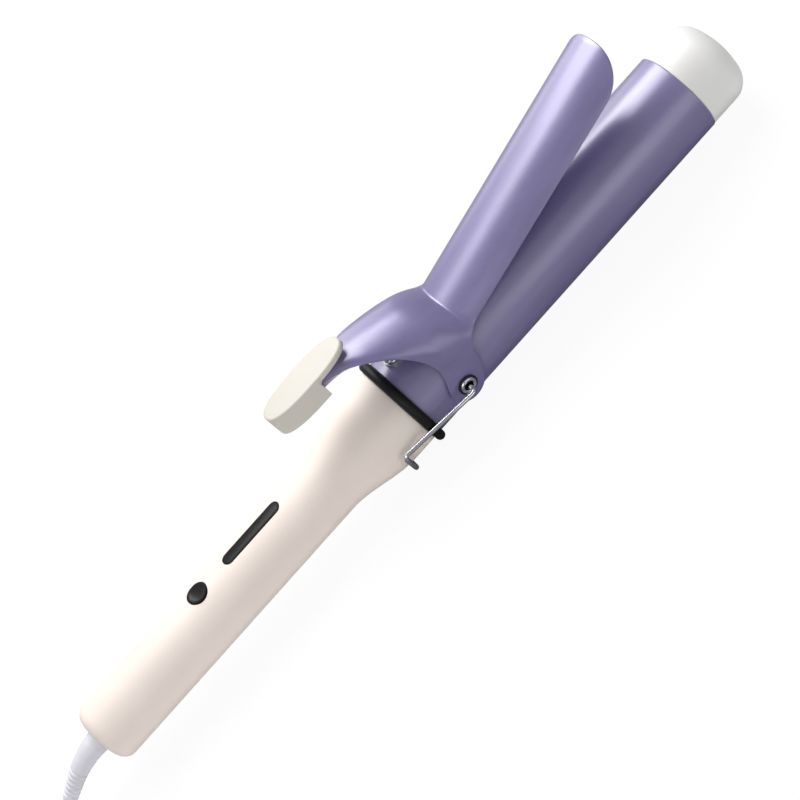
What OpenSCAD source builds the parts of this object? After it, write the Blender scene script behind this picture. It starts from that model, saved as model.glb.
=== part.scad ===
// Large barrel curling iron with a sprung clip, a wire stand and a control handle.
// The barrel axis runs along X, the tip at +X. Z is up and the clip lies on top.
// The origin is under the middle of the iron, on the surface that it lies on.
// Millimetres.

/* [Barrel] */
// Outer diameter of the barrel tube
barrel_d = 38; // [36:0.5:40]
// Wall of the barrel tube
barrel_wall = 1.2; // [1:0.1:1.6]
// Length of the barrel tube from the guard ring to the tip cap
barrel_len = 160.5; // [150:0.5:175]

/* [Tip cap] */
// Length of the cap that shows
cap_len = 24; // [20:0.5:30]
// How much smaller the cap is than the barrel, in diameter
cap_step = 0.5; // [0:0.1:1]
// Radius of the rounded edge of the cap
cap_round = 8.5; // [4:0.5:12]
// How far the middle of the cap's end stands proud of its rounded edge
cap_dome = 1.5; // [1:0.5:3]
// Length of the spigot that holds the cap in the barrel
cap_spigot = 9; // [6:1:12]

/* [Heater] */
// Length of the two heat spreaders
spreader_len = 104; // [80:1:110]
// Thickness of the spreader walls
spreader_wall = 2; // [1.5:0.1:3]
// Length of the ceramic heater
ptc_len = 96; // [70:1:104]
// Width of the ceramic heater
ptc_w = 14; // [10:1:18]
// Thickness of the ceramic heater
ptc_t = 4; // [3:0.5:5]
// Diameter of a heater lead
lead_d = 2; // [1.5:0.1:2.4]

/* [Guard ring] */
// Outer diameter of the ring
ring_d = 44; // [43:0.5:44]
// Thickness of the ring
ring_t = 4.2; // [3:0.1:5]

/* [Handle] */
// Length of the handle behind the guard ring
handle_len = 175.2; // [165:0.2:190]
// Diameter of the grip
grip_d = 27.8; // [26.5:0.1:29]
// Diameter of the handle's neck, at the guard ring
neck_d = 38; // [37:0.5:40]
// Length of the straight part of the neck
neck_len = 10.5; // [10:0.5:14]
// Length of the flare between the neck and the grip
flare_len = 32; // [28:1:40]
// Wall of the handle
handle_wall = 2; // [1.8:0.1:2.2]
// Thickness of the handle's rear wall
rear_wall = 3; // [2.5:0.5:4]
// Radius of the handle's rounded end
handle_round = 5; // [3:0.5:7]

/* [Display] */
// Length of the dark display window
window_len = 31.6; // [26:0.1:34]
// Width of the dark display window
window_w = 5.3; // [4:0.1:5.5]
// Distance of the window's middle behind the pivot
window_back = 100; // [98:1:103]

/* [Button] */
// Diameter of the power button
button_d = 9.6; // [8:0.1:9.8]
// Distance of the button behind the pivot
button_back = 131.3; // [130:0.1:134]
// Travel of the button
button_travel = 0.5; // [0.3:0.1:0.6]
// How far the button stands proud of the grip
button_proud = 0.5; // [0.3:0.1:0.8]

/* [Pivot] */
// Distance of the pivot in front of the guard ring
pivot_ahead = 19.5; // [18:0.5:22]
// Diameter of the eyelet's shank, on which the clip turns
shank_d = 5; // [4.6:0.1:5.4]
// Diameter of the eyelet's head
eyelet_d = 7.2; // [6.8:0.1:8]
// Thickness of the eyelet's head
eyelet_t = 0.8; // [0.8:0.1:2]
// Diameter of the dark washer under the eyelet
washer_d = 8.6; // [8:0.1:9.4]
// Thickness of the dark washer
washer_t = 0.5; // [0.4:0.1:2]

/* [Clip] */
// How far the clip is open at rest, in degrees
clip_open = 15; // [10:1:17]
// Thickness of the clip's sheet
sheet_t = 1.1; // [1:0.1:1.3]
// Gap between the closed clip and the barrel
clip_gap = 0.5; // [0.4:0.1:0.8]
// Distance of the blade's tip in front of the pivot
blade_len = 142; // [130:1:148]
// Half the angle that the blade wraps round the barrel
blade_angle = 57; // [50:1:60]
// Length of the blade's rounded tip
tip_len = 26; // [20:1:32]
// Distance of the crease in front of the pivot
crease_ahead = 21; // [20:1:23]
// Radius of the ear's round end
ear_r = 8; // [7.5:0.1:8.5]
// Half the width of the lever where it enters the thumb rest
lever_half_w = 6; // [5:0.5:7]

/* [Thumb rest] */
// Length of the thumb rest
rest_len = 41.1; // [38:0.1:46]
// Width of the thumb rest
rest_w = 14.2; // [14:0.1:16]
// Height of the thumb rest
rest_h = 11.5; // [11:0.1:13]

/* [Clip spring] */
// Outer diameter of the spring
spring_d = 7.6; // [7:0.1:8.4]
// Diameter of the spring's wire
spring_wire = 0.9; // [0.8:0.1:1]
// Number of curls
spring_curls = 8; // [6:1:10]
// Distance of the spring behind the pivot
spring_back = 11; // [10:0.5:12]

/* [Stand] */
// Diameter of the stand's wire
wire_d = 2.2; // [2:0.1:2.4]
// Length of a leg, from the pivot to the foot
leg_len = 37.3; // [36:0.1:40]
// Radius of the foot's half circle, at the wire's middle
foot_r = 21.5; // [21.4:0.1:22]
// Distance of a leg from the barrel axis at the pivot, at the wire's middle
leg_out = 25.6; // [25.5:0.1:26.2]

/* [Cord] */
// Diameter of the cord
cord_d = 5; // [4.8:0.1:5.2]
// Base diameter of the tapered strain relief
relief_d = 10.7; // [9.5:0.1:12]
// End diameter of the tapered strain relief
relief_end_d = 5.8; // [5.6:0.1:6.2]
// Length of one straight run of the hank
hank_run = 75; // [75:1:80]
// Radius of the hank's inner end loops
hank_r = 15; // [15:0.5:16]
// Step between neighbouring turns of the hank
hank_step = 7.4; // [7.4:0.1:7.6]
// Step between the layers of the hank
hank_rise = 5.7; // [5.7:0.1:6]

/* [Plug] */
// Width of the plug's body
plug_w = 35.3; // [34:0.1:36]
// Thickness of the plug's body
plug_t = 13.7; // [13:0.1:14]
// Length of the plug's body
plug_len = 30; // [27:1:32]
// Diameter of a pin
pin_d = 4; // [3.9:0.1:4.1]
// Length of a pin
pin_len = 19; // [18:0.5:20]
// Distance between the pins
pin_spacing = 18.6; // [17:0.1:19]

/* [Hidden] */
$fn = 64;

// Clearances
fit_gap = 0.1;       // between parts that are pushed into each other
run_gap = 0.06;      // radial, between a pin and the hole that it turns in
soft_gap = 0.3;      // between parts that only lie near each other
over = 1;            // how far a cutting shape runs past what it cuts

// Places along X
total_len = handle_len + ring_t + barrel_len + cap_len;
x_tail = -total_len / 2;
x_ring = x_tail + handle_len;
x_barrel = x_ring + ring_t;
x_seam = x_barrel + barrel_len;
x_pivot = x_barrel + pivot_ahead;
x_window = x_pivot - window_back;
x_button = x_pivot - button_back;
// Height of the barrel axis over the surface, with the stand's foot on it
axis_z = foot_r + wire_d / 2;

// Barrel and cap
barrel_r = barrel_d / 2;
barrel_in = barrel_r - barrel_wall;
cap_r = barrel_r - cap_step / 2;
cap_wall = 2.2;
spigot_r = barrel_in - fit_gap;

// Holder, which joins barrel, ring and handle
grip_r = grip_d / 2;
neck_r = neck_d / 2;
grip_in = grip_r - handle_wall;
neck_in = neck_r - handle_wall;
holder_back = neck_len;
holder_ahead = pivot_ahead + 10;
holder_neck_r = min(neck_in, barrel_in) - fit_gap;
holder_barrel_r = barrel_in - fit_gap;
holder_bore_r = 9;

// Heater inside the barrel
x_heater = x_barrel + holder_ahead + 6;
spreader_r = barrel_in - fit_gap;
spreader_flat = ptc_t / 2 + fit_gap;
fuse_d = 4;
fuse_len = 9;
bead_d = 3;
bead_len = 8;
strip_len = 60;      // leaf springs that press the spreaders apart
strip_t = 0.5;
strip_out = 2;       // from the heater's side
strip_at = 20;       // from the heater's rear end

// Board inside the handle
board_t = 1.6;
board_w = 19.6;
board_top = 3.8;
board_low = board_top - board_t;
board_behind = 14;   // from the button to the board's rear end
board_ahead = 12;    // from the window to the board's front end
post_in = 4;         // from the board's front end to the heater's leads
capacitor = [18, 8, 9];
capacitor_at = 22;   // from the board's rear end
triac_size = [15, 10, 4.5];
triac_at = 48;
display_len = 26;
display_w = 4.4;
frame_r = grip_in - fit_gap * 2;
frame_wall = 1.5;
x_board = x_button - board_behind;
board_len = x_window + window_len / 2 + board_ahead - x_board;
x_frame = x_tail + rear_wall + 4;
frame_len = x_board + board_len + 2 - x_frame;
frame_floor = 12;    // solid rear part of the tray, which holds the cord

// Display and button
window_slot = fit_gap;
window_low = grip_in - 1.7;
flange_t = 0.9;
flange_extra = 1.4;
switch_w = 6;
switch_h = 3.5;
switch_top = board_top + switch_h;
plunger_d = 3.4;
plunger_up = 0.9;
plunger_in = 1;
button_gap = 0.15;
button_flange_r = button_d / 2 + flange_extra;
button_low = switch_top + plunger_up + fit_gap;
button_flange_low = sqrt(pow(grip_in, 2) - pow(button_flange_r, 2)) - flange_t - fit_gap;

// Pivot, one stack on each side
clip_in = barrel_r + clip_gap;
clip_out = clip_in + sheet_t;
y_washer = clip_out + 0.1;
y_head = y_washer + washer_t;
y_eyelet = y_head + eyelet_t;
wire_bore_r = wire_d / 2;
eyelet_mouth_r = eyelet_d / 2 - 1.3;
eyelet_mouth = 0.5;  // depth of the eyelet's wider mouth
y_shank_in = holder_barrel_r - 6;
x_foot = x_pivot - leg_len;
wire_bend = 0.75 * wire_d;
wire_grip = 4;       // how deep the wire's ends lie in the eyelets
wire_sides = 16;

// Clip, closed, seen from the side: [distance ahead of the pivot, height of the crown]
// in front of the crease the crown follows the barrel
crown = [
    [-60, 63.4, 4], [-38, 58.6, 4], [-28, 56, 4], [-20, 53.8, 4.5], [-14, 51.2, 5.5],
    [-7, 46.2, 8], [-2, 43, 12], [3, 40.2, 17], [8, 37, clip_out], [12.5, 33.4, clip_out],
    [16, 29.6, clip_out], [18.6, 25.6, clip_out], [20.2, 22.4, clip_out],
    [crease_ahead, clip_out, clip_out], [crease_ahead + 4, clip_out, clip_out],
    [blade_len + 5, clip_out, clip_out]
];
// Half the width of the clip at each of those places
crown_w = [
    lever_half_w, lever_half_w, lever_half_w + 0.4, lever_half_w + 1.6, lever_half_w + 4,
    lever_half_w + 8, lever_half_w + 11, lever_half_w + 13.4, clip_out, clip_out,
    clip_out, clip_out, clip_out, clip_out, clip_out, clip_out
];
clip_low = -12;
ear_high = 16;       // up to here the ears stand beside the barrel
clip_sides = 24;
lever_end = -36;
blade_edge = clip_out * cos(blade_angle);
tip_half_w = clip_out * sin(blade_angle);

// Thumb rest, in the pose at rest, from the pivot
rest_back = 20.1;
rest_up = 42.9;
rest_round = 3;
rest_lip = 17.2;     // how far the top runs on over the lever
rest_lip_t = 6.2;

// Clip spring and its seat
seat_r = spring_d / 2 + 0.9;
seat_t = 1.6;
spring_low = barrel_r + 0.8;
spring_len = 18.2;
spring_coil_r = (spring_d - spring_wire) / 2;
spring_sides = 6;
spring_rings = 8;

// Screws and the cord's clamp
screw_r = 1.45;
screw_head_r = 2.7;
screw_head_t = 1.1;
screw_len = 8;
neck_screw_back = neck_len / 2;
clamp_at = 4;        // from the tray's rear end
clamp_w = 5;
clamp_t = 3;
clamp_bite = 1;      // how far the bar reaches down beside the cord
clamp_end = 2.4;     // beyond each screw
clamp_screw_y = 6;
clamp_screw_r = 1;
clamp_screw_len = 8;
clamp_head_r = 1.8;

// Tapered relief: its neck and flange in the handle's rear wall
relief_neck_r = 4.2;
relief_flange_r = 6.5;
relief_flange_t = 1.5;

// Hank: four layers of loops, wound in and out in turn, each climb late in its loop
hank_half_turns = 15;
hank_arc_rings = 9;
hank_run_rings = 3;
run_share = 0.65;
climb_late = 0.3;
hank_out = hank_r + 1.5 * hank_step;
cord_drop = 18.6;
hank_low = axis_z - cord_drop;

// Cord: the relief and the free lead, as [behind the handle, side, height]
relief_route = [
    [0, 0, axis_z], [2, 0, axis_z], [5, 0, axis_z - 0.15], [8, 0, axis_z - 0.7], [12, 0, axis_z - 1.8],
    [16, 0, axis_z - 3.4], [20, 0, axis_z - 5.5], [24, 0, axis_z - 8], [28, 0, axis_z - 10.4]
];
lead_route = [
    [28, 0, axis_z - 10.4], [30, 0, axis_z - 11.6], [34, -0.2, axis_z - 13.9],
    [40, -0.9, axis_z - 16.5], [48, -2.8, hank_low + 0.4], [58, -6.4, hank_low],
    [70, -11.6, hank_low], [82, -17, hank_low], [94, -21.8, hank_low],
    [104, -24.9, hank_low], [110, -hank_out, hank_low], [115, -hank_out, hank_low]
];
cord_sides = 10;
relief_sides = 16;
cord_r = cord_d / 2;
tie_t = 1.2;
tie_w = 12;
x_hank = x_tail - 115 - cord_d;
x_hank_far = x_hank - hank_run;
z_last = hank_low + 3 * hank_rise;
hank_top = z_last + cord_r;
// Last bit, from the hank up to the plug, as [along, share of the side, share of the height]
tail_route = [
    [cord_d, 1, 0], [cord_d + 2, 1, 0], [13, 0.99, 0.15], [19, 0.92, 0.38], [25, 0.77, 0.64],
    [32, 0.54, 0.87], [39, 0.3, 0.97], [46, 0.11, 1], [53, 0.02, 1], [58, 0, 1], [60, 0, 1]
];
x_plug = x_hank_far + 60;
z_plug = hank_top + soft_gap + plug_t / 2;
plug_back_w = 16;
plug_waist = 0.45;   // share of the plug's length over which it widens
pin_root = 6;        // how deep a pin is set in the plug
pin_root_d = pin_d + 0.8;

// Radius of the handle, from the neck at s = 0 to the grip at s = 1
flare_steps = 14;
function flare(s) = grip_r + (neck_r - grip_r) * (1 + cos(180 * s)) / 2;

// A rounded corner's points, from angle a to angle b
function corner(cx, cy, r, a, b, n = 8) =
    [for (i = [0:n]) [cx + r * cos(a + (b - a) * i / n), cy + r * sin(a + (b - a) * i / n)]];

// Sweep of a round tube along points; each ring faces along the route
function unit(v) = v / norm(v);
function heading(p, i) = unit(p[min(i + 1, len(p) - 1)] - p[max(i - 1, 0)]);
function sideways(d, up) = unit(cross(up, d));
function ring(c, d, r, n, up) =
    [for (k = [0:n - 1]) c + r * (cos(360 * k / n) * sideways(d, up)
        + sin(360 * k / n) * cross(d, sideways(d, up)))];
function tube_points(p, radii, n, up) =
    [for (i = [0:len(p) - 1]) each ring(p[i], heading(p, i), radii[i], n, up)];
function tube_faces(m, n) = concat(
    [[for (k = [0:n - 1]) k]],
    [for (i = [0:m - 2], k = [0:n - 1])
        [i * n + k, (i + 1) * n + k, (i + 1) * n + (k + 1) % n]],
    [for (i = [0:m - 2], k = [0:n - 1])
        [i * n + k, (i + 1) * n + (k + 1) % n, i * n + (k + 1) % n]],
    [[for (k = [0:n - 1]) m * n - 1 - k]]
);
module tube(p, radii, n, up = [0, 0, 1]) {
    polyhedron(tube_points(p, radii, n, up), tube_faces(len(p), n), convexity = 10);
}
function from_tail(route) = [for (p = route) [x_tail - p[0], p[1], p[2]]];
function same(r, p) = [for (q = p) r];

// A round bar along X, from x0 to x1, on the barrel axis
module bar(r, x0, x1) {
    translate([x0, 0, axis_z]) rotate([0, 90, 0]) cylinder(r = r, h = x1 - x0);
}
// A solid turned round the barrel axis from [x, radius] points
module turned(points) {
    translate([0, 0, axis_z]) rotate([0, 90, 0]) rotate_extrude()
        polygon([for (p = points) [p[1], p[0]]]);
}
// A round bar across, along Y, at the pivot, from y0 to y1
module across(r, y0, y1) {
    translate([x_pivot, y0, axis_z]) rotate([-90, 0, 0]) cylinder(r = r, h = y1 - y0);
}
// A capsule outline along X, len long over all and w wide
module capsule(length, w) {
    square([length - w, w], center = true);
    for (s = [-1, 1]) translate([s * (length - w) / 2, 0]) circle(d = w);
}
module both_sides() {
    children();
    mirror([0, 1, 0]) children();
}

module barrel_tube() {
    color("#8c82aa") difference() {
        bar(barrel_r, x_barrel, x_seam);
        bar(barrel_in, x_barrel - over, x_seam + over);
        across(shank_d / 2 + fit_gap, -barrel_r - over, barrel_r + over);
    }
}

module tip_cap() {
    edge = cap_r - cap_round;
    x_end = x_seam + cap_len;
    x_flat = x_end - cap_dome;
    color("#eeeeec") turned(concat(
        [[x_seam - cap_spigot, spigot_r - cap_wall], [x_seam - cap_spigot, spigot_r]],
        [[x_seam, spigot_r], [x_seam, cap_r]],
        corner(x_flat - cap_round, edge, cap_round, 90, 12, 8),
        [[x_end - cap_dome * 0.25, edge * 0.5], [x_end, 0], [x_end - cap_wall * 1.5, 0]],
        [[x_end - cap_wall * 1.5, edge * 0.5], [x_flat - cap_round, spigot_r - cap_wall]]
    ));
}

// One of the two aluminium halves that carry the heat to the barrel
module spreader() {
    translate([x_heater, 0, axis_z]) rotate([90, 0, 90]) linear_extrude(spreader_len)
        difference() {
            circle(spreader_r);
            translate([-spreader_r - over, -spreader_r - over])
                square([2 * (spreader_r + over), spreader_r + over + spreader_flat]);
            intersection() {
                circle(spreader_r - spreader_wall);
                translate([-spreader_r, spreader_flat + spreader_wall])
                    square([2 * spreader_r, spreader_r]);
            }
        }
}
module spreader_upper() {
    color("#c8cacc") spreader();
}
module spreader_lower() {
    color("#c8cacc") translate([0, 0, 2 * axis_z]) mirror([0, 0, 1]) spreader();
}
module ptc_heater() {
    color("#d8d2c0") translate([x_heater, -ptc_w / 2, axis_z - ptc_t / 2])
        cube([ptc_len, ptc_w, ptc_t]);
}
module spreader_springs() {
    color("#b8bcc0") both_sides()
        translate([x_heater + strip_at, ptc_w / 2 + strip_out, axis_z - spreader_flat])
            cube([strip_len, strip_t, 2 * spreader_flat]);
}
module thermal_fuse() {
    color("#d0d4d8") bar(fuse_d / 2, x_heater - fuse_len - 1, x_heater - 1 + fit_gap);
}
module thermistor() {
    color("#c47a3a") translate([x_heater + ptc_len + fit_gap, 0, axis_z]) rotate([0, 90, 0])
        cylinder(d = bead_d, h = bead_len);
}
module heater_leads() {
    lead_y = fuse_d / 2 + lead_d / 2 + soft_gap;
    x_post = x_board + board_len - post_in;
    color("#e6e2da") both_sides() translate([0, lead_y, axis_z]) {
        translate([x_post, 0, 0]) rotate([0, 90, 0])
            cylinder(d = lead_d, h = x_heater - x_post);
        translate([x_post, 0, 0]) sphere(d = lead_d);
        translate([x_post, 0, 0]) cylinder(d = lead_d, h = board_low);
    }
}

module barrel_holder() {
    color("#3a3a3c") difference() {
        turned([
            [x_ring - holder_back, holder_bore_r], [x_ring - holder_back, holder_neck_r],
            [x_barrel, holder_neck_r], [x_barrel, holder_barrel_r],
            [x_barrel + holder_ahead, holder_barrel_r], [x_barrel + holder_ahead, holder_bore_r]
        ]);
        across(shank_d / 2 + fit_gap, -barrel_r, barrel_r);
        translate([x_ring - neck_screw_back, 0, axis_z - neck_r - over])
            cylinder(r = screw_r + fit_gap, h = neck_r);
    }
}
module guard_ring() {
    rim = ring_t / 2;
    ring_r = ring_d / 2;
    color("#161618") turned(concat(
        [[x_ring, holder_neck_r + fit_gap]],
        corner(x_ring + rim, ring_r - rim, rim, 180, 90, 8),
        corner(x_ring + rim, ring_r - rim, rim, 90, 0, 8),
        [[x_barrel, holder_neck_r + fit_gap]]
    ));
}

module pivot_eyelets() {
    color("#c9ccd2") both_sides() difference() {
        union() {
            across(eyelet_d / 2, y_head, y_eyelet);
            across(shank_d / 2, y_shank_in, y_head);
        }
        across(wire_bore_r, y_shank_in - over, y_eyelet + over);
        across(eyelet_mouth_r, y_eyelet - eyelet_mouth, y_eyelet + over);
    }
}
module pivot_washers() {
    color("#101012") both_sides() difference() {
        across(washer_d / 2, y_washer, y_head);
        across(shank_d / 2 + run_gap, y_washer - over, y_head + over);
    }
}

// Screw that fixes the handle to the holder, from below
module screw_down(x, y, z, length, head_r, head_t, shank_r) {
    translate([x, y, z]) {
        cylinder(r = head_r, h = head_t);
        cylinder(r = shank_r, h = length);
    }
}
module neck_screw() {
    color("#5c5e62") difference() {
        screw_down(x_ring - neck_screw_back, 0, axis_z - neck_r + 0.1, screw_len,
            screw_head_r, screw_head_t, screw_r);
        translate([x_ring - neck_screw_back, 0, axis_z - neck_r])
            for (a = [0, 90]) rotate(a) cube([3, 0.7, 1.2], center = true);
    }
}

module handle_body() {
    turned(concat(
        [[x_ring, 0], [x_ring, neck_r]],
        [for (i = [0:flare_steps]) [x_ring - neck_len - flare_len * i / flare_steps, flare(i / flare_steps)]],
        corner(x_tail + handle_round, grip_r - handle_round, handle_round, 90, 180, 8),
        [[x_tail, 0]]
    ));
}
module handle_shell() {
    color("#f1e9e3") difference() {
        handle_body();
        turned(concat(
            [[x_ring + over, 0], [x_ring + over, neck_in]],
            [for (i = [0:flare_steps]) [x_ring - neck_len - flare_len * i / flare_steps,
                flare(i / flare_steps) - handle_wall]],
            [[x_tail + rear_wall + 2, grip_in], [x_tail + rear_wall, grip_in - 2]],
            [[x_tail + rear_wall, 0]]
        ));
        bar(relief_neck_r + fit_gap, x_tail - over, x_tail + rear_wall + over);
        translate([x_window, 0, axis_z]) linear_extrude(grip_r + over)
            capsule(window_len + 2 * window_slot, window_w + 2 * window_slot);
        translate([x_button, 0, axis_z]) cylinder(r = button_d / 2 + button_gap, h = grip_r + over);
        translate([x_ring - neck_screw_back, 0, axis_z - neck_r - over])
            cylinder(r = screw_r + fit_gap, h = handle_wall + 3);
        translate([x_ring - neck_screw_back, 0, axis_z - neck_r - over])
            cylinder(r = screw_head_r + fit_gap, h = over + 0.1 + screw_head_t);
    }
}

// Tray that carries the board, pushed into the grip
module board_frame() {
    color("#e8e6e0") difference() {
        bar(frame_r, x_frame, x_frame + frame_len);
        bar(frame_r - frame_wall, x_frame + frame_floor, x_frame + frame_len + over);
        translate([x_frame - over, -frame_r - over, axis_z + board_low - fit_gap])
            cube([frame_len + 2 * over, 2 * (frame_r + over), frame_r + over]);
        bar(cord_r + fit_gap, x_frame - over, x_frame + frame_floor + over);
        translate([x_frame + clamp_at - fit_gap, -frame_r, axis_z + cord_r - clamp_bite])
            cube([clamp_w + 2 * fit_gap, 2 * frame_r, frame_r]);
        for (s = [-1, 1]) translate([x_frame + clamp_at + clamp_w / 2, s * clamp_screw_y, axis_z - 5])
            cylinder(r = clamp_screw_r + fit_gap / 2, h = frame_r);
    }
}
module control_board() {
    color("#2f6b45") translate([x_board, -board_w / 2, axis_z + board_low])
        cube([board_len, board_w, board_t]);
}
module film_capacitor() {
    color("#c9a227") translate([x_board + capacitor_at, -capacitor.y / 2, axis_z + board_low - capacitor.z])
        cube(capacitor);
}
module triac() {
    color("#202022") translate([x_board + triac_at, -triac_size.y / 2, axis_z + board_low - triac_size.z])
        cube(triac_size);
}
module led_display() {
    color("#dfe3e6") translate([x_window - display_len / 2, -display_w / 2, axis_z + board_top])
        cube([display_len, display_w, window_low - flange_t - soft_gap - board_top]);
}
module display_window() {
    color("#0e0e12") intersection() {
        bar(grip_r + 0.05, x_window - window_len, x_window + window_len);
        translate([x_window, 0, axis_z + window_low - flange_t]) union() {
            linear_extrude(grip_r) capsule(window_len, window_w);
            linear_extrude(flange_t) capsule(window_len + 2, window_w + 1.6);
        }
    }
}
module tact_switch() {
    color("#303236") difference() {
        translate([x_button - switch_w / 2, -switch_w / 2, axis_z + board_top])
            cube([switch_w, switch_w, switch_h]);
        translate([x_button, 0, axis_z + switch_top - plunger_in - 2 * button_travel])
            cylinder(d = plunger_d + 2 * run_gap, h = plunger_in + 2 * button_travel + over);
    }
}
module switch_plunger() {
    color("#17181a") translate([x_button, 0, axis_z + switch_top - plunger_in])
        cylinder(d = plunger_d, h = plunger_up + plunger_in);
}
module power_button() {
    color("#0f0f12") translate([x_button, 0, axis_z]) {
        intersection() {
            translate([0, 0, button_low]) cylinder(d = button_d, h = grip_r);
            sphere(r = grip_r + button_proud);
        }
        translate([0, 0, button_flange_low]) cylinder(r = button_flange_r, h = flange_t);
    }
}

// Inner end of the cord, held by the clamp bar
module cord_end() {
    color("#d9d9dd") bar(cord_r, x_tail + rear_wall + relief_flange_t, x_frame + frame_floor + 2);
}
module cord_clamp() {
    color("#e8e6e0") difference() {
        translate([x_frame + clamp_at, -clamp_screw_y - clamp_end, axis_z + cord_r - clamp_bite + fit_gap])
            cube([clamp_w, 2 * (clamp_screw_y + clamp_end), clamp_t]);
        bar(cord_r + fit_gap, x_frame, x_frame + frame_floor);
        for (s = [-1, 1]) translate([x_frame + clamp_at + clamp_w / 2, s * clamp_screw_y, axis_z])
            cylinder(r = clamp_screw_r + fit_gap / 2, h = frame_r);
    }
}
module clamp_screws() {
    z_head = axis_z + cord_r - clamp_bite + fit_gap + clamp_t;
    color("#8a8d92") for (s = [-1, 1])
        translate([x_frame + clamp_at + clamp_w / 2, s * clamp_screw_y, z_head]) {
            cylinder(r = clamp_head_r, h = 1);
            translate([0, 0, 1 - clamp_screw_len]) cylinder(r = clamp_screw_r, h = clamp_screw_len);
        }
}

// Tapered boot, bent down by the weight of the cord
module strain_relief() {
    n = len(relief_route) - 1;
    radii = [for (i = [0:n]) relief_d / 2 + (relief_end_d - relief_d) / 2 * pow(i / n, 0.8)];
    color("#d6d5da") union() {
        tube(from_tail(relief_route), radii, relief_sides);
        bar(relief_neck_r, x_tail - 0.5, x_tail + rear_wall + fit_gap);
        bar(relief_flange_r, x_tail + rear_wall, x_tail + rear_wall + relief_flange_t);
    }
}
module cord_lead() {
    p = from_tail(lead_route);
    color("#d6d5da") tube(p, same(cord_r, p), cord_sides);
}

// Hank: radius, layer and place of a point q half turns along
// a half turn is one run and the end loop after it
function hank_phase(k) = k % 8;
function hank_radius(k, f) =
    hank_phase(k) < 3 ? hank_out - (hank_phase(k) + f) * hank_step / 2
    : hank_phase(k) == 3 ? hank_r
    : hank_phase(k) < 7 ? hank_r + (hank_phase(k) - 4 + f) * hank_step / 2
    : hank_out;
function hank_layer(k) = floor((k + 1) / 4) - (k % 4 == 3 ? 1 : 0);
function hank_climb(k, g) = k % 4 == 3 ? ease((g - climb_late) / (1 - climb_late)) : 0;
function hank_height(k, g) = hank_low + hank_rise * (hank_layer(k) + hank_climb(k, g));
function ease(g) = (1 - cos(180 * min(1, max(0, g)))) / 2;
function run_point(k, g) = let (s = k % 2 == 0 ? 1 : -1, r = hank_radius(k, run_share * g))
    [x_hank - hank_run / 2 - s * hank_run * (g - 0.5), -s * r, hank_height(k, g)];
function arc_point(k, g) = let (s = k % 2 == 0 ? 1 : -1, r = hank_radius(k, run_share + (1 - run_share) * g))
    [x_hank - hank_run / 2 - s * (hank_run / 2 + r * sin(180 * g)), -s * r * cos(180 * g),
        hank_height(k, 1)];
hank_points = [
    [x_hank + cord_d, -hank_out, hank_low],
    for (k = [0:hank_half_turns - 1]) each concat(
        [for (i = [0:hank_run_rings - 1]) run_point(k, i / hank_run_rings)],
        [for (i = [0:hank_arc_rings - 1]) arc_point(k, i / hank_arc_rings)]
    ),
    arc_point(hank_half_turns - 1, 1),
    [x_hank_far + cord_d, hank_out, z_last]
];
// Least gap between turns, from every point to each point half a turn or more away
hank_gap = min([
    for (i = [0:len(hank_points) - 1], j = [i + hank_run_rings + hank_arc_rings + 1:len(hank_points) - 1])
        let (a = hank_points[i], b = hank_points[j], e = hank_points[min(j + 1, len(hank_points) - 1)])
            let (t = e == b ? 0 : min(1, max(0, (a - b) * (e - b) / ((e - b) * (e - b)))))
                norm(a - b - t * (e - b))
]) - cord_d;
echo("least gap between the turns of the hank", hank_gap);
module cord_hank() {
    color("#d6d5da") tube(hank_points, same(cord_r, hank_points), 6);
}
module cord_tail() {
    p = [for (q = tail_route) [x_hank_far + q[0], q[1] * hank_out, z_last + q[2] * (z_plug - z_last)]];
    color("#d6d5da") tube(p, same(cord_r, p), cord_sides);
}
module cord_tie() {
    half_y = hank_out + cord_r + soft_gap;
    inner_h = hank_top + soft_gap - tie_t;
    color("#2a2a2e") translate([x_hank - hank_run / 2 - tie_w / 2, 0, tie_t + inner_h / 2])
        rotate([90, 0, 90]) linear_extrude(tie_w) difference() {
            square([2 * (half_y + tie_t), inner_h + 2 * tie_t], center = true);
            square([2 * half_y, inner_h], center = true);
        }
}

module plug_body() {
    color("#d6d5da") translate([x_plug, 0, z_plug - plug_t / 2]) difference() {
        linear_extrude(plug_t) polygon([
            [0, -plug_back_w / 2], [plug_len * plug_waist, -plug_w / 2], [plug_len, -plug_w / 2],
            [plug_len, plug_w / 2], [plug_len * plug_waist, plug_w / 2], [0, plug_back_w / 2]
        ]);
        for (s = [-1, 1]) translate([plug_len - pin_root, s * pin_spacing / 2, plug_t / 2])
            rotate([0, 90, 0]) cylinder(d = pin_root_d, h = pin_root + over);
    }
}
module plug_pins() {
    color("#c9ccd2") translate([x_plug + plug_len - pin_root, 0, z_plug])
        for (s = [-1, 1]) translate([0, s * pin_spacing / 2, 0]) rotate([0, 90, 0]) {
            cylinder(d = pin_root_d, h = pin_root);
            cylinder(d = pin_d, h = pin_root + pin_len);
        }
}

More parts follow.
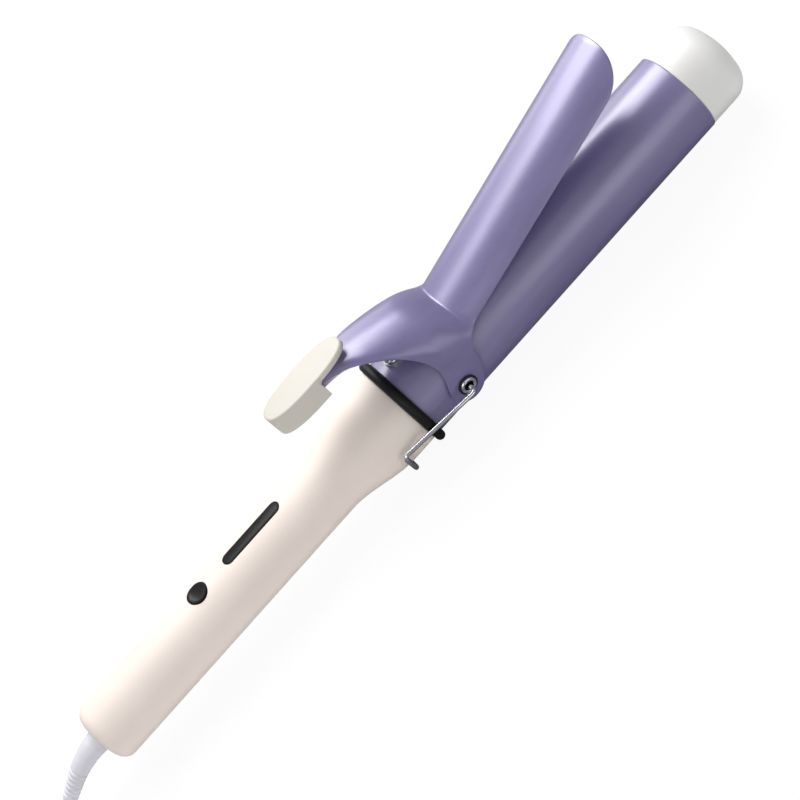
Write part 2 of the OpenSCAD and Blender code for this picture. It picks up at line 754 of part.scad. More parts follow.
// Clip: a tunnel over barrel and pivot, cut to the outline of the pressed sheet
function slope(i) = let (a = crown[max(i - 1, 0)], b = crown[min(i + 1, len(crown) - 1)])
    (b[1] - a[1]) / (b[0] - a[0]);
function section(i, t) =
    let (w = crown_w[i] - t, top = crown[i][1] - t * sqrt(1 + pow(slope(i), 2)))
    let (h = min(crown[i][2], top) - t)
        [for (k = [0:clip_sides]) let (a = 180 * k / clip_sides)
            [crown[i][0], w * cos(a), top - h + h * sin(a)]];
function ear_top(i) = min(ear_high, crown[i][1] - crown[i][2] - over);
module tunnel(t) {
    m = clip_sides + 5;
    points = [for (i = [0:len(crown) - 1]) each concat(
        [for (z = [clip_low - t, ear_top(i)]) [crown[i][0], clip_out - t, z]],
        section(i, t),
        [for (z = [ear_top(i), clip_low - t]) [crown[i][0], t - clip_out, z]]
    )];
    polyhedron(points, tube_faces(len(crown), m), convexity = 10);
}
// Lower edge of the sheet from the blade round the ear to the lever, [ahead, height]
clip_outline = concat(
    [[blade_len + 10, 90], [blade_len + 10, blade_edge], [crease_ahead + 6, blade_edge]],
    [[crease_ahead + 1, blade_edge + 0.2], [crease_ahead - 3, blade_edge - 0.6]],
    [[crease_ahead - 6.5, blade_edge - 3.2], [ear_r + 3.4, 4.2]],
    corner(0, 0, ear_r, 12, -200, 20),
    [[-ear_r * 0.68, 6.4], [-2.6, 10], [-0.4, 14.6], [0.5, 20], [0, 26], [-2.8, 33.6], [-8, 40.6]],
    [[-14.5, 46.4], [-20, 48.8], [-28, 51], [lever_end, 53.2], [lever_end, 90]]
);
module at_rest() {
    translate([x_pivot, 0, axis_z]) rotate([0, -clip_open, 0]) children();
}
module clip_sheet() {
    tip = concat(
        [[lever_end - over, -30], [blade_len - tip_len, -30], [blade_len - tip_len, -tip_half_w]],
        [for (a = [-80:10:80]) [blade_len - tip_len + tip_len * cos(a), tip_half_w * sin(a)]],
        [[blade_len - tip_len, tip_half_w], [blade_len - tip_len, 30], [lever_end - over, 30]]
    );
    color("#978ec0") at_rest() difference() {
        resize([0, 0, 0]) intersection() {
            difference() {
                tunnel(0);
                tunnel(sheet_t);
            }
            rotate([90, 0, 0]) translate([0, 0, -40]) linear_extrude(80) polygon(clip_outline);
            translate([0, 0, -20]) linear_extrude(120) polygon(tip);
        }
        translate([0, -40, 0]) rotate([-90, 0, 0]) cylinder(r = shank_d / 2 + run_gap, h = 80);
    }
}

// Thumb rest: a soft-cornered sleeve over the end of the lever, its top longer than its underside
module thumb_rest() {
    end_r = rest_w / 2;
    color("#efe7df") translate([x_pivot - rest_back - rest_len, 0, axis_z + rest_up - rest_h / 2])
        difference() {
            hull() for (x = [end_r, rest_len - end_r], z = [rest_round, rest_h - rest_round])
                translate([x, 0, z]) rotate_extrude($fn = 32)
                    translate([end_r - rest_round, 0]) circle(rest_round, $fn = 20);
            translate([rest_len - rest_lip, -rest_w, -over])
                cube([rest_lip + over, 2 * rest_w, rest_h - rest_lip_t + over]);
        }
}

// Spring that closes the clip, on its seat on the barrel
module spring_seat() {
    color("#b8bcc0") difference() {
        translate([x_pivot - spring_back, 0, axis_z + barrel_r - 1]) cylinder(r = seat_r, h = 1 + seat_t);
        bar(barrel_r + 0.02, x_barrel, x_seam);
        translate([x_pivot - spring_back, 0, axis_z + spring_low])
            cylinder(r = spring_d / 2 + fit_gap, h = 10);
    }
}
module clip_spring() {
    n = spring_curls * spring_rings;
    p = [for (i = [0:n]) [
        x_pivot - spring_back + spring_coil_r * cos(360 * i / spring_rings),
        spring_coil_r * sin(360 * i / spring_rings),
        axis_z + spring_low + fit_gap + spring_wire / 2 + (spring_len - spring_wire) * i / n
    ]];
    color("#c9ccd2") tube(p, same(spring_wire / 2, p), spring_sides);
}

// Stand: one wire, in at each eyelet, along the barrel and round under the handle
function stand_side(s) = concat(
    [[x_pivot, s * (y_eyelet + run_gap), axis_z]],
    [for (q = corner(x_pivot - wire_bend, leg_out - wire_bend, wire_bend, 0, 90, 3))
        [q[0], s * q[1], axis_z]],
    [for (q = corner(x_foot + wire_bend, axis_z - wire_bend, wire_bend, 90, 180, 3)) [q[0], s * foot_r, q[1]]]
);
module stand_wire() {
    left = stand_side(1);
    right = stand_side(-1);
    p = concat(
        left,
        [for (a = [10:10:170]) [x_foot, foot_r * cos(a), axis_z - foot_r * sin(a)]],
        [for (i = [len(right) - 1:-1:0]) right[i]]
    );
    color("#c9ccd2") union() {
        resize([0, 0, 0]) tube(p, same(wire_d / 2, p), wire_sides, [1, 1, 1]);
        both_sides() across(wire_d / 2 - run_gap, y_head - wire_grip, leg_out - wire_bend + fit_gap);
    }
}

barrel_tube();
tip_cap();
spreader_upper();
spreader_lower();
ptc_heater();
spreader_springs();
thermal_fuse();
thermistor();
heater_leads();
barrel_holder();
guard_ring();
pivot_eyelets();
pivot_washers();
handle_shell();
neck_screw();
board_frame();
control_board();
film_capacitor();
triac();
led_display();
display_window();
tact_switch();
switch_plunger();
power_button();
cord_end();
cord_clamp();
clamp_screws();
strain_relief();
cord_lead();
cord_hank();
cord_tail();
cord_tie();
plug_body();
plug_pins();
clip_sheet();
thumb_rest();
clip_spring();
spring_seat();
stand_wire();
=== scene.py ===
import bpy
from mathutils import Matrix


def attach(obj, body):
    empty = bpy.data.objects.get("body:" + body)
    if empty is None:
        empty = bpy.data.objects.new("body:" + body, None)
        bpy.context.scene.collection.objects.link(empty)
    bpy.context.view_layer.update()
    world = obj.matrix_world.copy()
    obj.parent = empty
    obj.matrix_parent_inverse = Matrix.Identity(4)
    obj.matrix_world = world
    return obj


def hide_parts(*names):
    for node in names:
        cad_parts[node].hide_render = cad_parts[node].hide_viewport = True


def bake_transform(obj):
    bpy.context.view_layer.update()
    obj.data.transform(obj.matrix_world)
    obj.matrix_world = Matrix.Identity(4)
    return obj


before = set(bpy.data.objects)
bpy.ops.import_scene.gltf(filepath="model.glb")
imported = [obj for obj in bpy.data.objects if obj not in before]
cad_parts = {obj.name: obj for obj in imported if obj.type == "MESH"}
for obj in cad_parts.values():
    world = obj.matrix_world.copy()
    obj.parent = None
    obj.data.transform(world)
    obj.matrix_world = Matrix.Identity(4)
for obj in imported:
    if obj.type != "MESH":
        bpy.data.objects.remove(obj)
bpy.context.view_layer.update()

import math
import bmesh
import bpy
from mathutils import Matrix, Vector

# The camera: a long lens 88 cm off, looking down at 45 degrees and rolled so
# that the iron runs from the lower left to the upper right of the picture.
MM = 0.001
AXIS_Z = 22.6 * MM
look_down = math.radians(45.4)
roll = math.radians(48.2)
camera_far = 882 * MM
ahead = Vector((0, math.cos(look_down), -math.sin(look_down)))
across = Vector((1, 0, 0))
upward = across.cross(ahead)
right = math.cos(roll) * across - math.sin(roll) * upward
top = math.sin(roll) * across + math.cos(roll) * upward
aim_point = Vector((-5 * MM, 0.6 * MM, AXIS_Z + 0.6 * MM))
spot = aim_point - camera_far * ahead
lens = bpy.data.cameras.new("photo_camera")
lens.lens = 101.2
lens.sensor_width = 36
lens.clip_end = 20
camera = bpy.data.objects.new("photo_camera", lens)
camera.matrix_world = Matrix((
    (right.x, top.x, -ahead.x, spot.x),
    (right.y, top.y, -ahead.y, spot.y),
    (right.z, top.z, -ahead.z, spot.z),
    (0, 0, 0, 1),
))
bpy.context.scene.collection.objects.link(camera)
bpy.context.scene.camera = camera
bpy.context.scene.view_settings.view_transform = "Standard"

# The studio floor: a large board painted white. The camera sees it white, with a
# trace of the iron's soft shadow, and in reflections it shows as a grey card.
def linear(code):
    """The linear colour of an sRGB hex code."""
    parts = [int(code[i:i + 2], 16) / 255 for i in (1, 3, 5)]
    return [c / 12.92 if c <= 0.04045 else ((c + 0.055) / 1.055) ** 2.4 for c in parts] + [1]


def new_finish(name):
    finish = bpy.data.materials.new(name)
    finish.use_nodes = True
    finish.node_tree.nodes.clear()
    return finish


def add_node(finish, kind, sockets=None, **settings):
    """A node of that kind, with settings; a socket takes a value or another node's output."""
    made = finish.node_tree.nodes.new(kind)
    for name, value in settings.items():
        setattr(made, name, value)
    for name, value in (sockets or {}).items():
        if isinstance(value, bpy.types.NodeSocket):
            finish.node_tree.links.new(value, made.inputs[name])
        else:
            made.inputs[name].default_value = value
    return made


painted_board = new_finish("matt white paint on board")
sight = add_node(painted_board, "ShaderNodeLightPath")
seen = add_node(painted_board, "ShaderNodeMath",
    {0: sight.outputs["Is Camera Ray"], 1: sight.outputs["Is Transmission Ray"]}, operation="MAXIMUM")
share = add_node(painted_board, "ShaderNodeMath", {0: seen.outputs[0], 1: 0.93}, operation="MULTIPLY")
card_tone = add_node(painted_board, "ShaderNodeMix",
    {"Factor": sight.outputs["Is Glossy Ray"], 6: linear("#f4f4f4"), 7: linear("#828289")}, data_type="RGBA")
matt_paint = add_node(painted_board, "ShaderNodeBsdfDiffuse", {"Color": card_tone.outputs[2]})
white_light = add_node(painted_board, "ShaderNodeEmission", {"Color": (1, 1, 1, 1), "Strength": 1})
board_mix = add_node(painted_board, "ShaderNodeMixShader",
    {0: share.outputs[0], 1: matt_paint.outputs[0], 2: white_light.outputs[0]})
add_node(painted_board, "ShaderNodeOutputMaterial", {"Surface": board_mix.outputs[0]})

floor_half = 6
floor_below = 0.05 * MM
sweep = bmesh.new()
bmesh.ops.create_grid(sweep, x_segments=2, y_segments=2, size=floor_half)
bmesh.ops.translate(sweep, verts=sweep.verts, vec=(0, 0, -floor_below))
floor_mesh = bpy.data.meshes.new("floor")
sweep.to_mesh(floor_mesh)
sweep.free()
floor_mesh.materials.append(painted_board)
floor = bpy.data.objects.new("floor", floor_mesh)
bpy.context.scene.collection.objects.link(floor)

# The studio's light: even white walls, a large soft lamp at the upper left of the
# picture that draws the long highlights, and weak ones for the far sides, the blade,
# the barrel's lower half and the handle.
room = bpy.data.worlds.new("white room")
room.use_nodes = True
room.node_tree.nodes.clear()
room_sight = add_node(room, "ShaderNodeLightPath")
room_fill = add_node(room, "ShaderNodeBackground", {"Color": linear("#f3f4f8"), "Strength": 0.34})
room_seen = add_node(room, "ShaderNodeBackground", {"Color": (1, 1, 1, 1), "Strength": 1})
room_mix = add_node(room, "ShaderNodeMixShader",
    {0: room_sight.outputs["Is Camera Ray"], 1: room_fill.outputs[0], 2: room_seen.outputs[0]})
add_node(room, "ShaderNodeOutputWorld", {"Surface": room_mix.outputs[0]})
bpy.context.scene.world = room


def soft_lamp(name, place, aim, width, length, power):
    light = bpy.data.lights.new(name, "AREA")
    light.shape = "RECTANGLE"
    light.size = width
    light.size_y = length
    light.energy = power
    lamp = bpy.data.objects.new(name, light)
    facing = (Vector(aim) - Vector(place)).to_track_quat("-Z", "X")
    lamp.matrix_world = Matrix.Translation(place) @ facing.to_matrix().to_4x4()
    bpy.context.scene.collection.objects.link(lamp)


soft_lamp("key_lamp", (0.19, 0.55, 1.02), (0.03, 0, 0.02), 0.95, 0.8, 15.5)
soft_lamp("back_lamp", (0.15, 0.95, 0.45), (0.06, 0, 0.04), 0.9, 0.5, 2.4)
soft_lamp("blade_lamp", (-0.5, 0.4, 0.98), (0.08, 0, 0.06), 0.4, 0.6, 1.8)
soft_lamp("low_lamp", (0.35, -1, 0.15), (0.05, 0, 0.02), 0.9, 0.8, 2)
soft_lamp("handle_lamp", (-0.75, -0.75, 0.6), (-0.08, 0, 0.02), 0.6, 0.6, 2.9)

# The mains cord: round PVC flex, 5 mm thick, soft and pale grey. It hangs from
# the boot to the table, runs back to its hank and ends in the plug on top.
X_TAIL = -181.95 * MM
cord_r = 2.5 * MM
cord_drop = 18.6 * MM
soft_gap = 0.3 * MM
hank_back = 120 * MM
hank_run = 75 * MM
hank_r = 15 * MM
hank_step = 7.4 * MM
hank_rise = 5.7 * MM
hank_out = hank_r + 1.5 * hank_step
hank_low = AXIS_Z - cord_drop
hank_half_turns = 15
run_share = 0.65
climb_late = 0.3
x_hank = X_TAIL - hank_back
x_hank_far = x_hank - hank_run
z_last = hank_low + 3 * hank_rise
plug_t = 13.7 * MM
z_plug = z_last + cord_r + soft_gap + plug_t / 2

# Points of the lead, in millimetres: behind the handle, to the side, up from the axis
lead_route = [
    (24, 0, -8), (28, 0, -10.4), (30, 0, -11.6), (34, -0.2, -13.9), (40, -0.9, -16.5),
    (48, -2.8, -18.2), (58, -6.4, -18.6), (70, -11.6, -18.6), (82, -17, -18.6),
    (94, -21.8, -18.6), (104, -24.9, -18.6), (110, -26.1, -18.6), (115, -26.1, -18.6),
]
# Points of the last stretch: millimetres along it, share of the side, share of the height
tail_route = [
    (5, 1, 0), (7, 1, 0), (13, 0.99, 0.15), (19, 0.92, 0.38), (25, 0.77, 0.64), (32, 0.54, 0.87),
    (39, 0.3, 0.97), (46, 0.11, 1), (53, 0.02, 1), (58, 0, 1), (60, 0, 1),
]


def hank_radius(turn, share):
    """Radius of the hank's line that far along a half turn. Four half turns make a
    layer, and the layers wind inwards and outwards by turns."""
    in_pair = turn % 8
    if in_pair < 3:
        return hank_out - (in_pair + share) * hank_step / 2
    if in_pair == 3:
        return hank_r
    if in_pair < 7:
        return hank_r + (in_pair - 4 + share) * hank_step / 2
    return hank_out


def hank_height(turn, share):
    """Height of the hank's line, which climbs late in the last half turn of each layer."""
    climbs = turn % 4 == 3
    late = min(1, max(0, (share - climb_late) / (1 - climb_late)))
    eased = (1 - math.cos(math.pi * late)) / 2 if climbs else 0
    return hank_low + hank_rise * ((turn + 1) // 4 - climbs + eased)


def hank_points(run_steps=5, arc_steps=12):
    """Along the hank's half turns, each one straight run and the loop after it."""
    points = []
    for turn in range(hank_half_turns):
        side = 1 if turn % 2 == 0 else -1
        for i in range(run_steps):
            share = i / run_steps
            x = x_hank - hank_run / 2 - side * hank_run * (share - 0.5)
            y = -side * hank_radius(turn, run_share * share)
            points.append(Vector((x, y, hank_height(turn, share))))
        last = turn == hank_half_turns - 1
        for i in range(arc_steps + last):
            radius = hank_radius(turn, run_share + (1 - run_share) * i / arc_steps)
            bend = math.pi * i / arc_steps
            x = x_hank - hank_run / 2 - side * (hank_run / 2 + radius * math.sin(bend))
            points.append(Vector((x, -side * radius * math.cos(bend), hank_height(turn, 1))))
    return points


def bent_line(name, points, radius, sides=4, steps=3):
    """A round line through the points, as one smooth curve."""
    line = bpy.data.curves.new(name, "CURVE")
    line.dimensions = "3D"
    line.bevel_depth = radius
    line.bevel_resolution = sides
    line.resolution_u = steps
    line.use_fill_caps = True
    spline = line.splines.new("BEZIER")
    spline.bezier_points.add(len(points) - 1)
    for knot, point in zip(spline.bezier_points, points):
        knot.co = point
        knot.handle_left_type = knot.handle_right_type = "AUTO"
    piece = bpy.data.objects.new(name, line)
    bpy.context.scene.collection.objects.link(piece)
    return piece


cord_points = [Vector((X_TAIL - back * MM, side * MM, AXIS_Z + up * MM)) for back, side, up in lead_route]
cord_points += hank_points()
cord_points += [
    Vector((x_hank_far + along * MM, side * hank_out, z_last + up * (z_plug - z_last)))
    for along, side, up in tail_route
]

# Plasticised PVC: extruded, so the skin is smooth and faintly uneven, with a soft dull gloss
pvc_flex = new_finish("plasticised PVC")
place = add_node(pvc_flex, "ShaderNodeTexCoord")
ripple = add_node(pvc_flex, "ShaderNodeTexNoise",
    {"Vector": place.outputs["Object"], "Scale": 1 / (0.9 * MM), "Detail": 3})
patch = add_node(pvc_flex, "ShaderNodeTexNoise",
    {"Vector": place.outputs["Object"], "Scale": 1 / (16 * MM), "Detail": 2})
tone = add_node(pvc_flex, "ShaderNodeMix",
    {"Factor": patch.outputs["Fac"], 6: linear("#c9c7cf"), 7: linear("#dad9df")}, data_type="RGBA")
dull = add_node(pvc_flex, "ShaderNodeMapRange",
    {"Value": ripple.outputs["Fac"], "To Min": 0.34, "To Max": 0.52})
uneven = add_node(pvc_flex, "ShaderNodeBump",
    {"Height": ripple.outputs["Fac"], "Strength": 0.3, "Distance": 0.05 * MM})
skin = add_node(pvc_flex, "ShaderNodeBsdfPrincipled",
    {"Base Color": tone.outputs[2], "Roughness": dull.outputs[0], "IOR": 1.53, "Normal": uneven.outputs[0]})
add_node(pvc_flex, "ShaderNodeOutputMaterial", {"Surface": skin.outputs[0]})

mains_cord = bent_line("mains_cord", cord_points, cord_r)
mains_cord.data.materials.append(pvc_flex)
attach(mains_cord, "handle")
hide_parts("cord_lead", "cord_hank", "cord_tail")

# The strain relief: a soft boot moulded on the cord, tapered and grooved so
# that it bends evenly. Its neck is held in the handle's rear wall.
relief_neck_len = 3
# The boot's line, in millimetres: behind the handle, up from the axis
relief_route = [
    (-relief_neck_len, 0), (0, 0), (2, 0), (5, -0.15), (8, -0.7), (12, -1.8), (16, -3.4), (20, -5.5),
    (24, -8), (28, -10.4),
]
relief_len = 28
relief_base_r = 5.35
relief_end_r = 2.95
relief_neck_r = 4.2
relief_taper = 0.8
relief_chamfer = 0.5
relief_look = 2
groove_from = 15.5
groove_to = 26.5
groove_step = 1.85
groove_deep = 0.45
groove_round = 0.6


def drop_at(back):
    """How far the boot's middle has sunk, that far behind the handle."""
    for (a, za), (b, zb) in zip(relief_route, relief_route[1:]):
        if back <= b:
            return za + (zb - za) * (back - a) / (b - a)
    return relief_route[-1][1]


def swept(rings, sides=48):
    """A closed round body through rings, each a centre, a direction and a radius."""
    shape = bmesh.new()
    for i, (centre, direction, radius) in enumerate(rings):
        turn = Vector((0, 0, 1)).rotation_difference(direction).to_matrix().to_4x4()
        here = Matrix.Translation(centre) @ turn @ Matrix.Scale(radius, 4)
        if i == 0:
            first = bmesh.ops.create_circle(shape, segments=sides, radius=1, matrix=here)["verts"]
            loop = list(shape.edges)
        else:
            grown = bmesh.ops.extrude_edge_only(shape, edges=loop)["geom"]
            loop = [part for part in grown if isinstance(part, bmesh.types.BMEdge)]
            new = [part for part in grown if isinstance(part, bmesh.types.BMVert)]
            bmesh.ops.transform(shape, matrix=here @ before.inverted(), verts=new)
        before = here
    first_loop = [edge for edge in shape.edges if all(vert in first for vert in edge.verts)]
    bmesh.ops.contextual_create(shape, geom=first_loop)
    bmesh.ops.contextual_create(shape, geom=loop)
    bmesh.ops.recalc_face_normals(shape, faces=shape.faces)
    return shape


def settle(shape, name, finish, body, replaces=(), sharp=35):
    """The finished shape as a piece: smooth but for its sharp edges, dressed, and
    tied to its body if it has one."""
    mesh = bpy.data.meshes.new(name)
    shape.to_mesh(mesh)
    shape.free()
    mesh.shade_smooth()
    mesh.set_sharp_from_angle(angle=math.radians(sharp))
    mesh.materials.append(finish)
    piece = bpy.data.objects.new(name, mesh)
    bpy.context.scene.collection.objects.link(piece)
    if body:
        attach(piece, body)
    if replaces:
        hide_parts(*replaces)
    return piece


boot_rings = []
boot_steps = 124
for i in range(boot_steps + 1):
    back = -relief_neck_len + (relief_len + relief_neck_len) * i / boot_steps
    tapered = min(1, max(0, back / relief_len)) ** relief_taper
    radius = relief_base_r + (relief_end_r - relief_base_r) * tapered
    if groove_from < back < groove_to:
        wave = math.sin(2 * math.pi * (back - groove_from) / groove_step)
        radius -= groove_deep * max(0, wave) ** groove_round
    if back < 0:
        radius = relief_neck_r
    if back > relief_len - relief_chamfer:
        radius -= 0.3 * (back - relief_len + relief_chamfer)
    before = max(back - relief_look, -relief_neck_len)
    after = min(back + relief_look, relief_len)
    heading = Vector((before - after, 0, drop_at(after) - drop_at(before))).normalized()
    boot_rings.append((Vector((X_TAIL - back * MM, 0, AXIS_Z + drop_at(back) * MM)), heading, radius * MM))

relief = settle(swept(boot_rings), "strain_relief_boot", pvc_flex, "handle",
    ["strain_relief"], sharp=40)

# The plug: a flat two-pin plug, moulded in one with the cord. Its body narrows
# to the back, has finger ribs on its waist, and lies on the hank.
plug_len = 30 * MM
plug_w = 35.3 * MM
plug_back_w = 16 * MM
plug_waist = 0.45
plug_edge = 3 * MM
rib_count = 4
rib_step = 2.6 * MM
rib_from = 3.6 * MM
rib_sunk = 0.5 * MM
rib_half_w = 0.8 * MM
rib_proud = 1.5 * MM
rib_short = 1.2 * MM
plug_ahead = 60 * MM
x_plug = x_hank_far + plug_ahead
x_waist = x_plug + plug_waist * plug_len
plug_outline = [
    (x_plug, -plug_back_w / 2), (x_waist, -plug_w / 2), (x_plug + plug_len, -plug_w / 2),
    (x_plug + plug_len, plug_w / 2), (x_waist, plug_w / 2), (x_plug, plug_back_w / 2),
]


def slab(outline, low, high):
    """A flat body with that outline, from the low height to the high one."""
    shape = bmesh.new()
    face = shape.faces.new([shape.verts.new((x, y, low)) for x, y in outline])
    grown = bmesh.ops.extrude_face_region(shape, geom=[face])["geom"]
    lifted = [part for part in grown if isinstance(part, bmesh.types.BMVert)]
    bmesh.ops.translate(shape, vec=(0, 0, high - low), verts=lifted)
    bmesh.ops.recalc_face_normals(shape, faces=shape.faces)
    return shape


def round_edges(shape, edges, radius, segments):
    bmesh.ops.bevel(shape, geom=edges, offset=radius, segments=segments, profile=0.5, affect="EDGES",
        material=-1)


plug_shape = slab(plug_outline, z_plug - plug_t / 2, z_plug + plug_t / 2)
round_edges(plug_shape, list(plug_shape.edges), plug_edge, 6)
for side in (-1, 1):
    for i in range(rib_count):
        x = x_plug + rib_from + i * rib_step
        widened = (plug_w - plug_back_w) / 2 * (x - x_plug) / (x_waist - x_plug)
        y = side * (plug_back_w / 2 + widened - rib_sunk)
        rib = bmesh.ops.create_uvsphere(plug_shape, u_segments=12, v_segments=8, radius=1)["verts"]
        bmesh.ops.scale(plug_shape, verts=rib, vec=(rib_half_w, rib_proud, plug_t / 2 - rib_short))
        bmesh.ops.translate(plug_shape, verts=rib, vec=(x, y, z_plug))
plug = settle(plug_shape, "plug_moulding", pvc_flex, "handle", ["plug_body"], sharp=50)

# The plug's pins: two turned brass pins, nickel plated, with rounded ends. Their
# thicker roots are moulded into the plug.
pin_r = 2 * MM
pin_len = 19 * MM
pin_spacing = 18.6 * MM
pin_root = 6 * MM
pin_root_more = 0.35 * MM
pin_root_sunk = 0.3 * MM
pin_round = 1.3 * MM

# Nickel plate on steel and brass: a bright metal, faintly hazed in clouds of 2 mm
nickel_plate = new_finish("nickel plate on steel and brass")
place = add_node(nickel_plate, "ShaderNodeTexCoord")
haze = add_node(nickel_plate, "ShaderNodeTexNoise",
    {"Vector": place.outputs["Object"], "Scale": 1 / (2.2 * MM), "Detail": 5})
shine = add_node(nickel_plate, "ShaderNodeMapRange",
    {"Value": haze.outputs["Fac"], "To Min": 0.1, "To Max": 0.24})
plate_tone = add_node(nickel_plate, "ShaderNodeMix",
    {"Factor": haze.outputs["Fac"], 6: linear("#bfc0c4"), 7: linear("#d8d9dc")}, data_type="RGBA")
plate_skin = add_node(nickel_plate, "ShaderNodeBsdfPrincipled",
    {"Base Color": plate_tone.outputs[2], "Metallic": 1, "Roughness": shine.outputs[0]})
add_node(nickel_plate, "ShaderNodeOutputMaterial", {"Surface": plate_skin.outputs[0]})


def spun(profile, centre, axis, rounds=None, steps=64):
    """A body turned from [along, radius] points about a line along X, Y or Z through the centre.
    rounds gives the rounding of some of its corners, by their number; an open profile ends on the line."""
    out = Vector((0, 0, 1)) if axis != "Z" else Vector((1, 0, 0))
    line = {"X": Vector((1, 0, 0)), "Y": Vector((0, 1, 0)), "Z": Vector((0, 0, 1))}[axis]
    shape = bmesh.new()
    verts = [shape.verts.new(Vector(centre) + along * line + r * out) for along, r in profile]
    closed = profile[0][1] > 0 and profile[-1][1] > 0
    for i in range(len(verts) if closed else len(verts) - 1):
        shape.edges.new((verts[i], verts[(i + 1) % len(verts)]))
    for number, radius in (rounds or {}).items():
        bmesh.ops.bevel(shape, geom=[verts[number]], offset=radius, segments=6, profile=0.5,
            affect="VERTICES", material=-1)
    bmesh.ops.spin(shape, geom=shape.verts[:] + shape.edges[:], cent=centre, axis=line,
        angle=2 * math.pi, steps=steps, use_merge=True, use_duplicate=False)
    bmesh.ops.remove_doubles(shape, verts=shape.verts, dist=1e-7)
    bmesh.ops.recalc_face_normals(shape, faces=shape.faces)
    return shape


def joined(first, *others):
    """One shape of several."""
    for other in others:
        spare = bpy.data.meshes.new("spare")
        other.to_mesh(spare)
        first.from_mesh(spare)
        other.free()
        bpy.data.meshes.remove(spare)
    return first


pin_profile = [
    (-pin_root, 0), (-pin_root, pin_r + pin_root_more), (-pin_root_sunk, pin_r + pin_root_more),
    (-pin_root_sunk, pin_r), (pin_len, pin_r), (pin_len, 0),
]
near_pin, far_pin = [
    spun(pin_profile, (x_plug + plug_len, side * pin_spacing / 2, z_plug), "X", {4: pin_round}, 40)
    for side in (-1, 1)
]
pins = settle(joined(near_pin, far_pin), "plug_pin_pair", nickel_plate, "handle",
    ["plug_pins"])

# The cord tie: a strap of black hook-and-loop tape round the hank, 12 mm wide.
# Its loose end laps over the top and is pressed down.
tie_w = 12 * MM
tie_t = 1.2 * MM
tie_lap = 0.9 * MM
tie_corner = 9 * MM
lap_low = 12 * MM
lap_end = 6 * MM
lap_apart = 0.05 * MM
tie_half = hank_out + cord_r + soft_gap
tie_top = z_last + cord_r + soft_gap
x_tie = x_hank - hank_run / 2 - tie_w / 2

# Nylon loop tape: black yarn loops of 0.5 mm, seen as a soft pile with a slight sheen
loop_tape = new_finish("nylon loop tape")
place = add_node(loop_tape, "ShaderNodeTexCoord")
loops = add_node(loop_tape, "ShaderNodeTexVoronoi",
    {"Vector": place.outputs["Object"], "Scale": 1 / (0.5 * MM)}, feature="F1")
pile = add_node(loop_tape, "ShaderNodeTexNoise",
    {"Vector": place.outputs["Object"], "Scale": 1 / (3 * MM), "Detail": 6})
yarn = add_node(loop_tape, "ShaderNodeMix",
    {"Factor": pile.outputs["Fac"], 6: linear("#17171a"), 7: linear("#3a3a40")}, data_type="RGBA")
tufts = add_node(loop_tape, "ShaderNodeBump",
    {"Height": loops.outputs["Distance"], "Strength": 0.8, "Distance": 0.15 * MM})
nap = add_node(loop_tape, "ShaderNodeBsdfPrincipled",
    {"Base Color": yarn.outputs[2], "Roughness": 0.85, "Sheen Weight": 0.4, "Sheen Roughness": 0.4,
     "Normal": tufts.outputs[0]})
add_node(loop_tape, "ShaderNodeOutputMaterial", {"Surface": nap.outputs[0]})


def strap(points, corners, width, thick, closed):
    """A strap of that width and thickness, bent round the corners of its [side, height] line."""
    shape = bmesh.new()
    verts = [shape.verts.new((x_tie, y, z)) for y, z in points]
    for i in range(len(verts) if closed else len(verts) - 1):
        shape.edges.new((verts[i], verts[(i + 1) % len(verts)]))
    bent = verts if closed else verts[1:-1]
    bmesh.ops.bevel(shape, geom=bent, offset=corners, segments=8, profile=0.5,
        affect="VERTICES", material=-1)
    grown = bmesh.ops.extrude_edge_only(shape, edges=shape.edges[:])["geom"]
    far_side = [part for part in grown if isinstance(part, bmesh.types.BMVert)]
    bmesh.ops.translate(shape, vec=(width, 0, 0), verts=far_side)
    bmesh.ops.recalc_face_normals(shape, faces=shape.faces)
    bmesh.ops.solidify(shape, geom=shape.faces[:], thickness=thick)
    return shape


band_side = tie_half + tie_t
lap_side = -tie_half - tie_t - lap_apart
band_line = [(-band_side, 0), (band_side, 0), (band_side, tie_top), (-band_side, tie_top)]
lap_line = [(lap_side, lap_low), (lap_side, tie_top + tie_lap), (lap_end, tie_top + tie_lap)]
band = strap(band_line, tie_corner, tie_w, tie_t, True)
lap = strap(lap_line, tie_corner, tie_w, tie_lap, False)
tie = settle(joined(band, lap), "cord_tie_strap", loop_tape, "handle", ["cord_tie"])

# The heater, hidden in the barrel: a ceramic block between two aluminium half
# rounds, pressed out by leaf springs. The bodies come from the frame as made.
def dress(finish, *nodes):
    for node in nodes:
        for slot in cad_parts[node].material_slots:
            slot.material = finish


# Extruded aluminium, as it comes from the die: bare, pale, with fine lines along the barrel
drawn_aluminium = new_finish("extruded bare aluminium")
place = add_node(drawn_aluminium, "ShaderNodeTexCoord")
along_die = add_node(drawn_aluminium, "ShaderNodeMapping",
    {"Vector": place.outputs["Object"], "Scale": (0.02, 1, 1)})
die_lines = add_node(drawn_aluminium, "ShaderNodeTexNoise",
    {"Vector": along_die.outputs[0], "Scale": 1 / (0.4 * MM), "Detail": 4})
die_tone = add_node(drawn_aluminium, "ShaderNodeMix",
    {"Factor": die_lines.outputs["Fac"], 6: linear("#b4b6b8"), 7: linear("#cfd0d1")}, data_type="RGBA")
die_rough = add_node(drawn_aluminium, "ShaderNodeMapRange",
    {"Value": die_lines.outputs["Fac"], "To Min": 0.3, "To Max": 0.5})
die_skin = add_node(drawn_aluminium, "ShaderNodeBsdfPrincipled",
    {"Base Color": die_tone.outputs[2], "Metallic": 1, "Roughness": die_rough.outputs[0]})
add_node(drawn_aluminium, "ShaderNodeOutputMaterial", {"Surface": die_skin.outputs[0]})
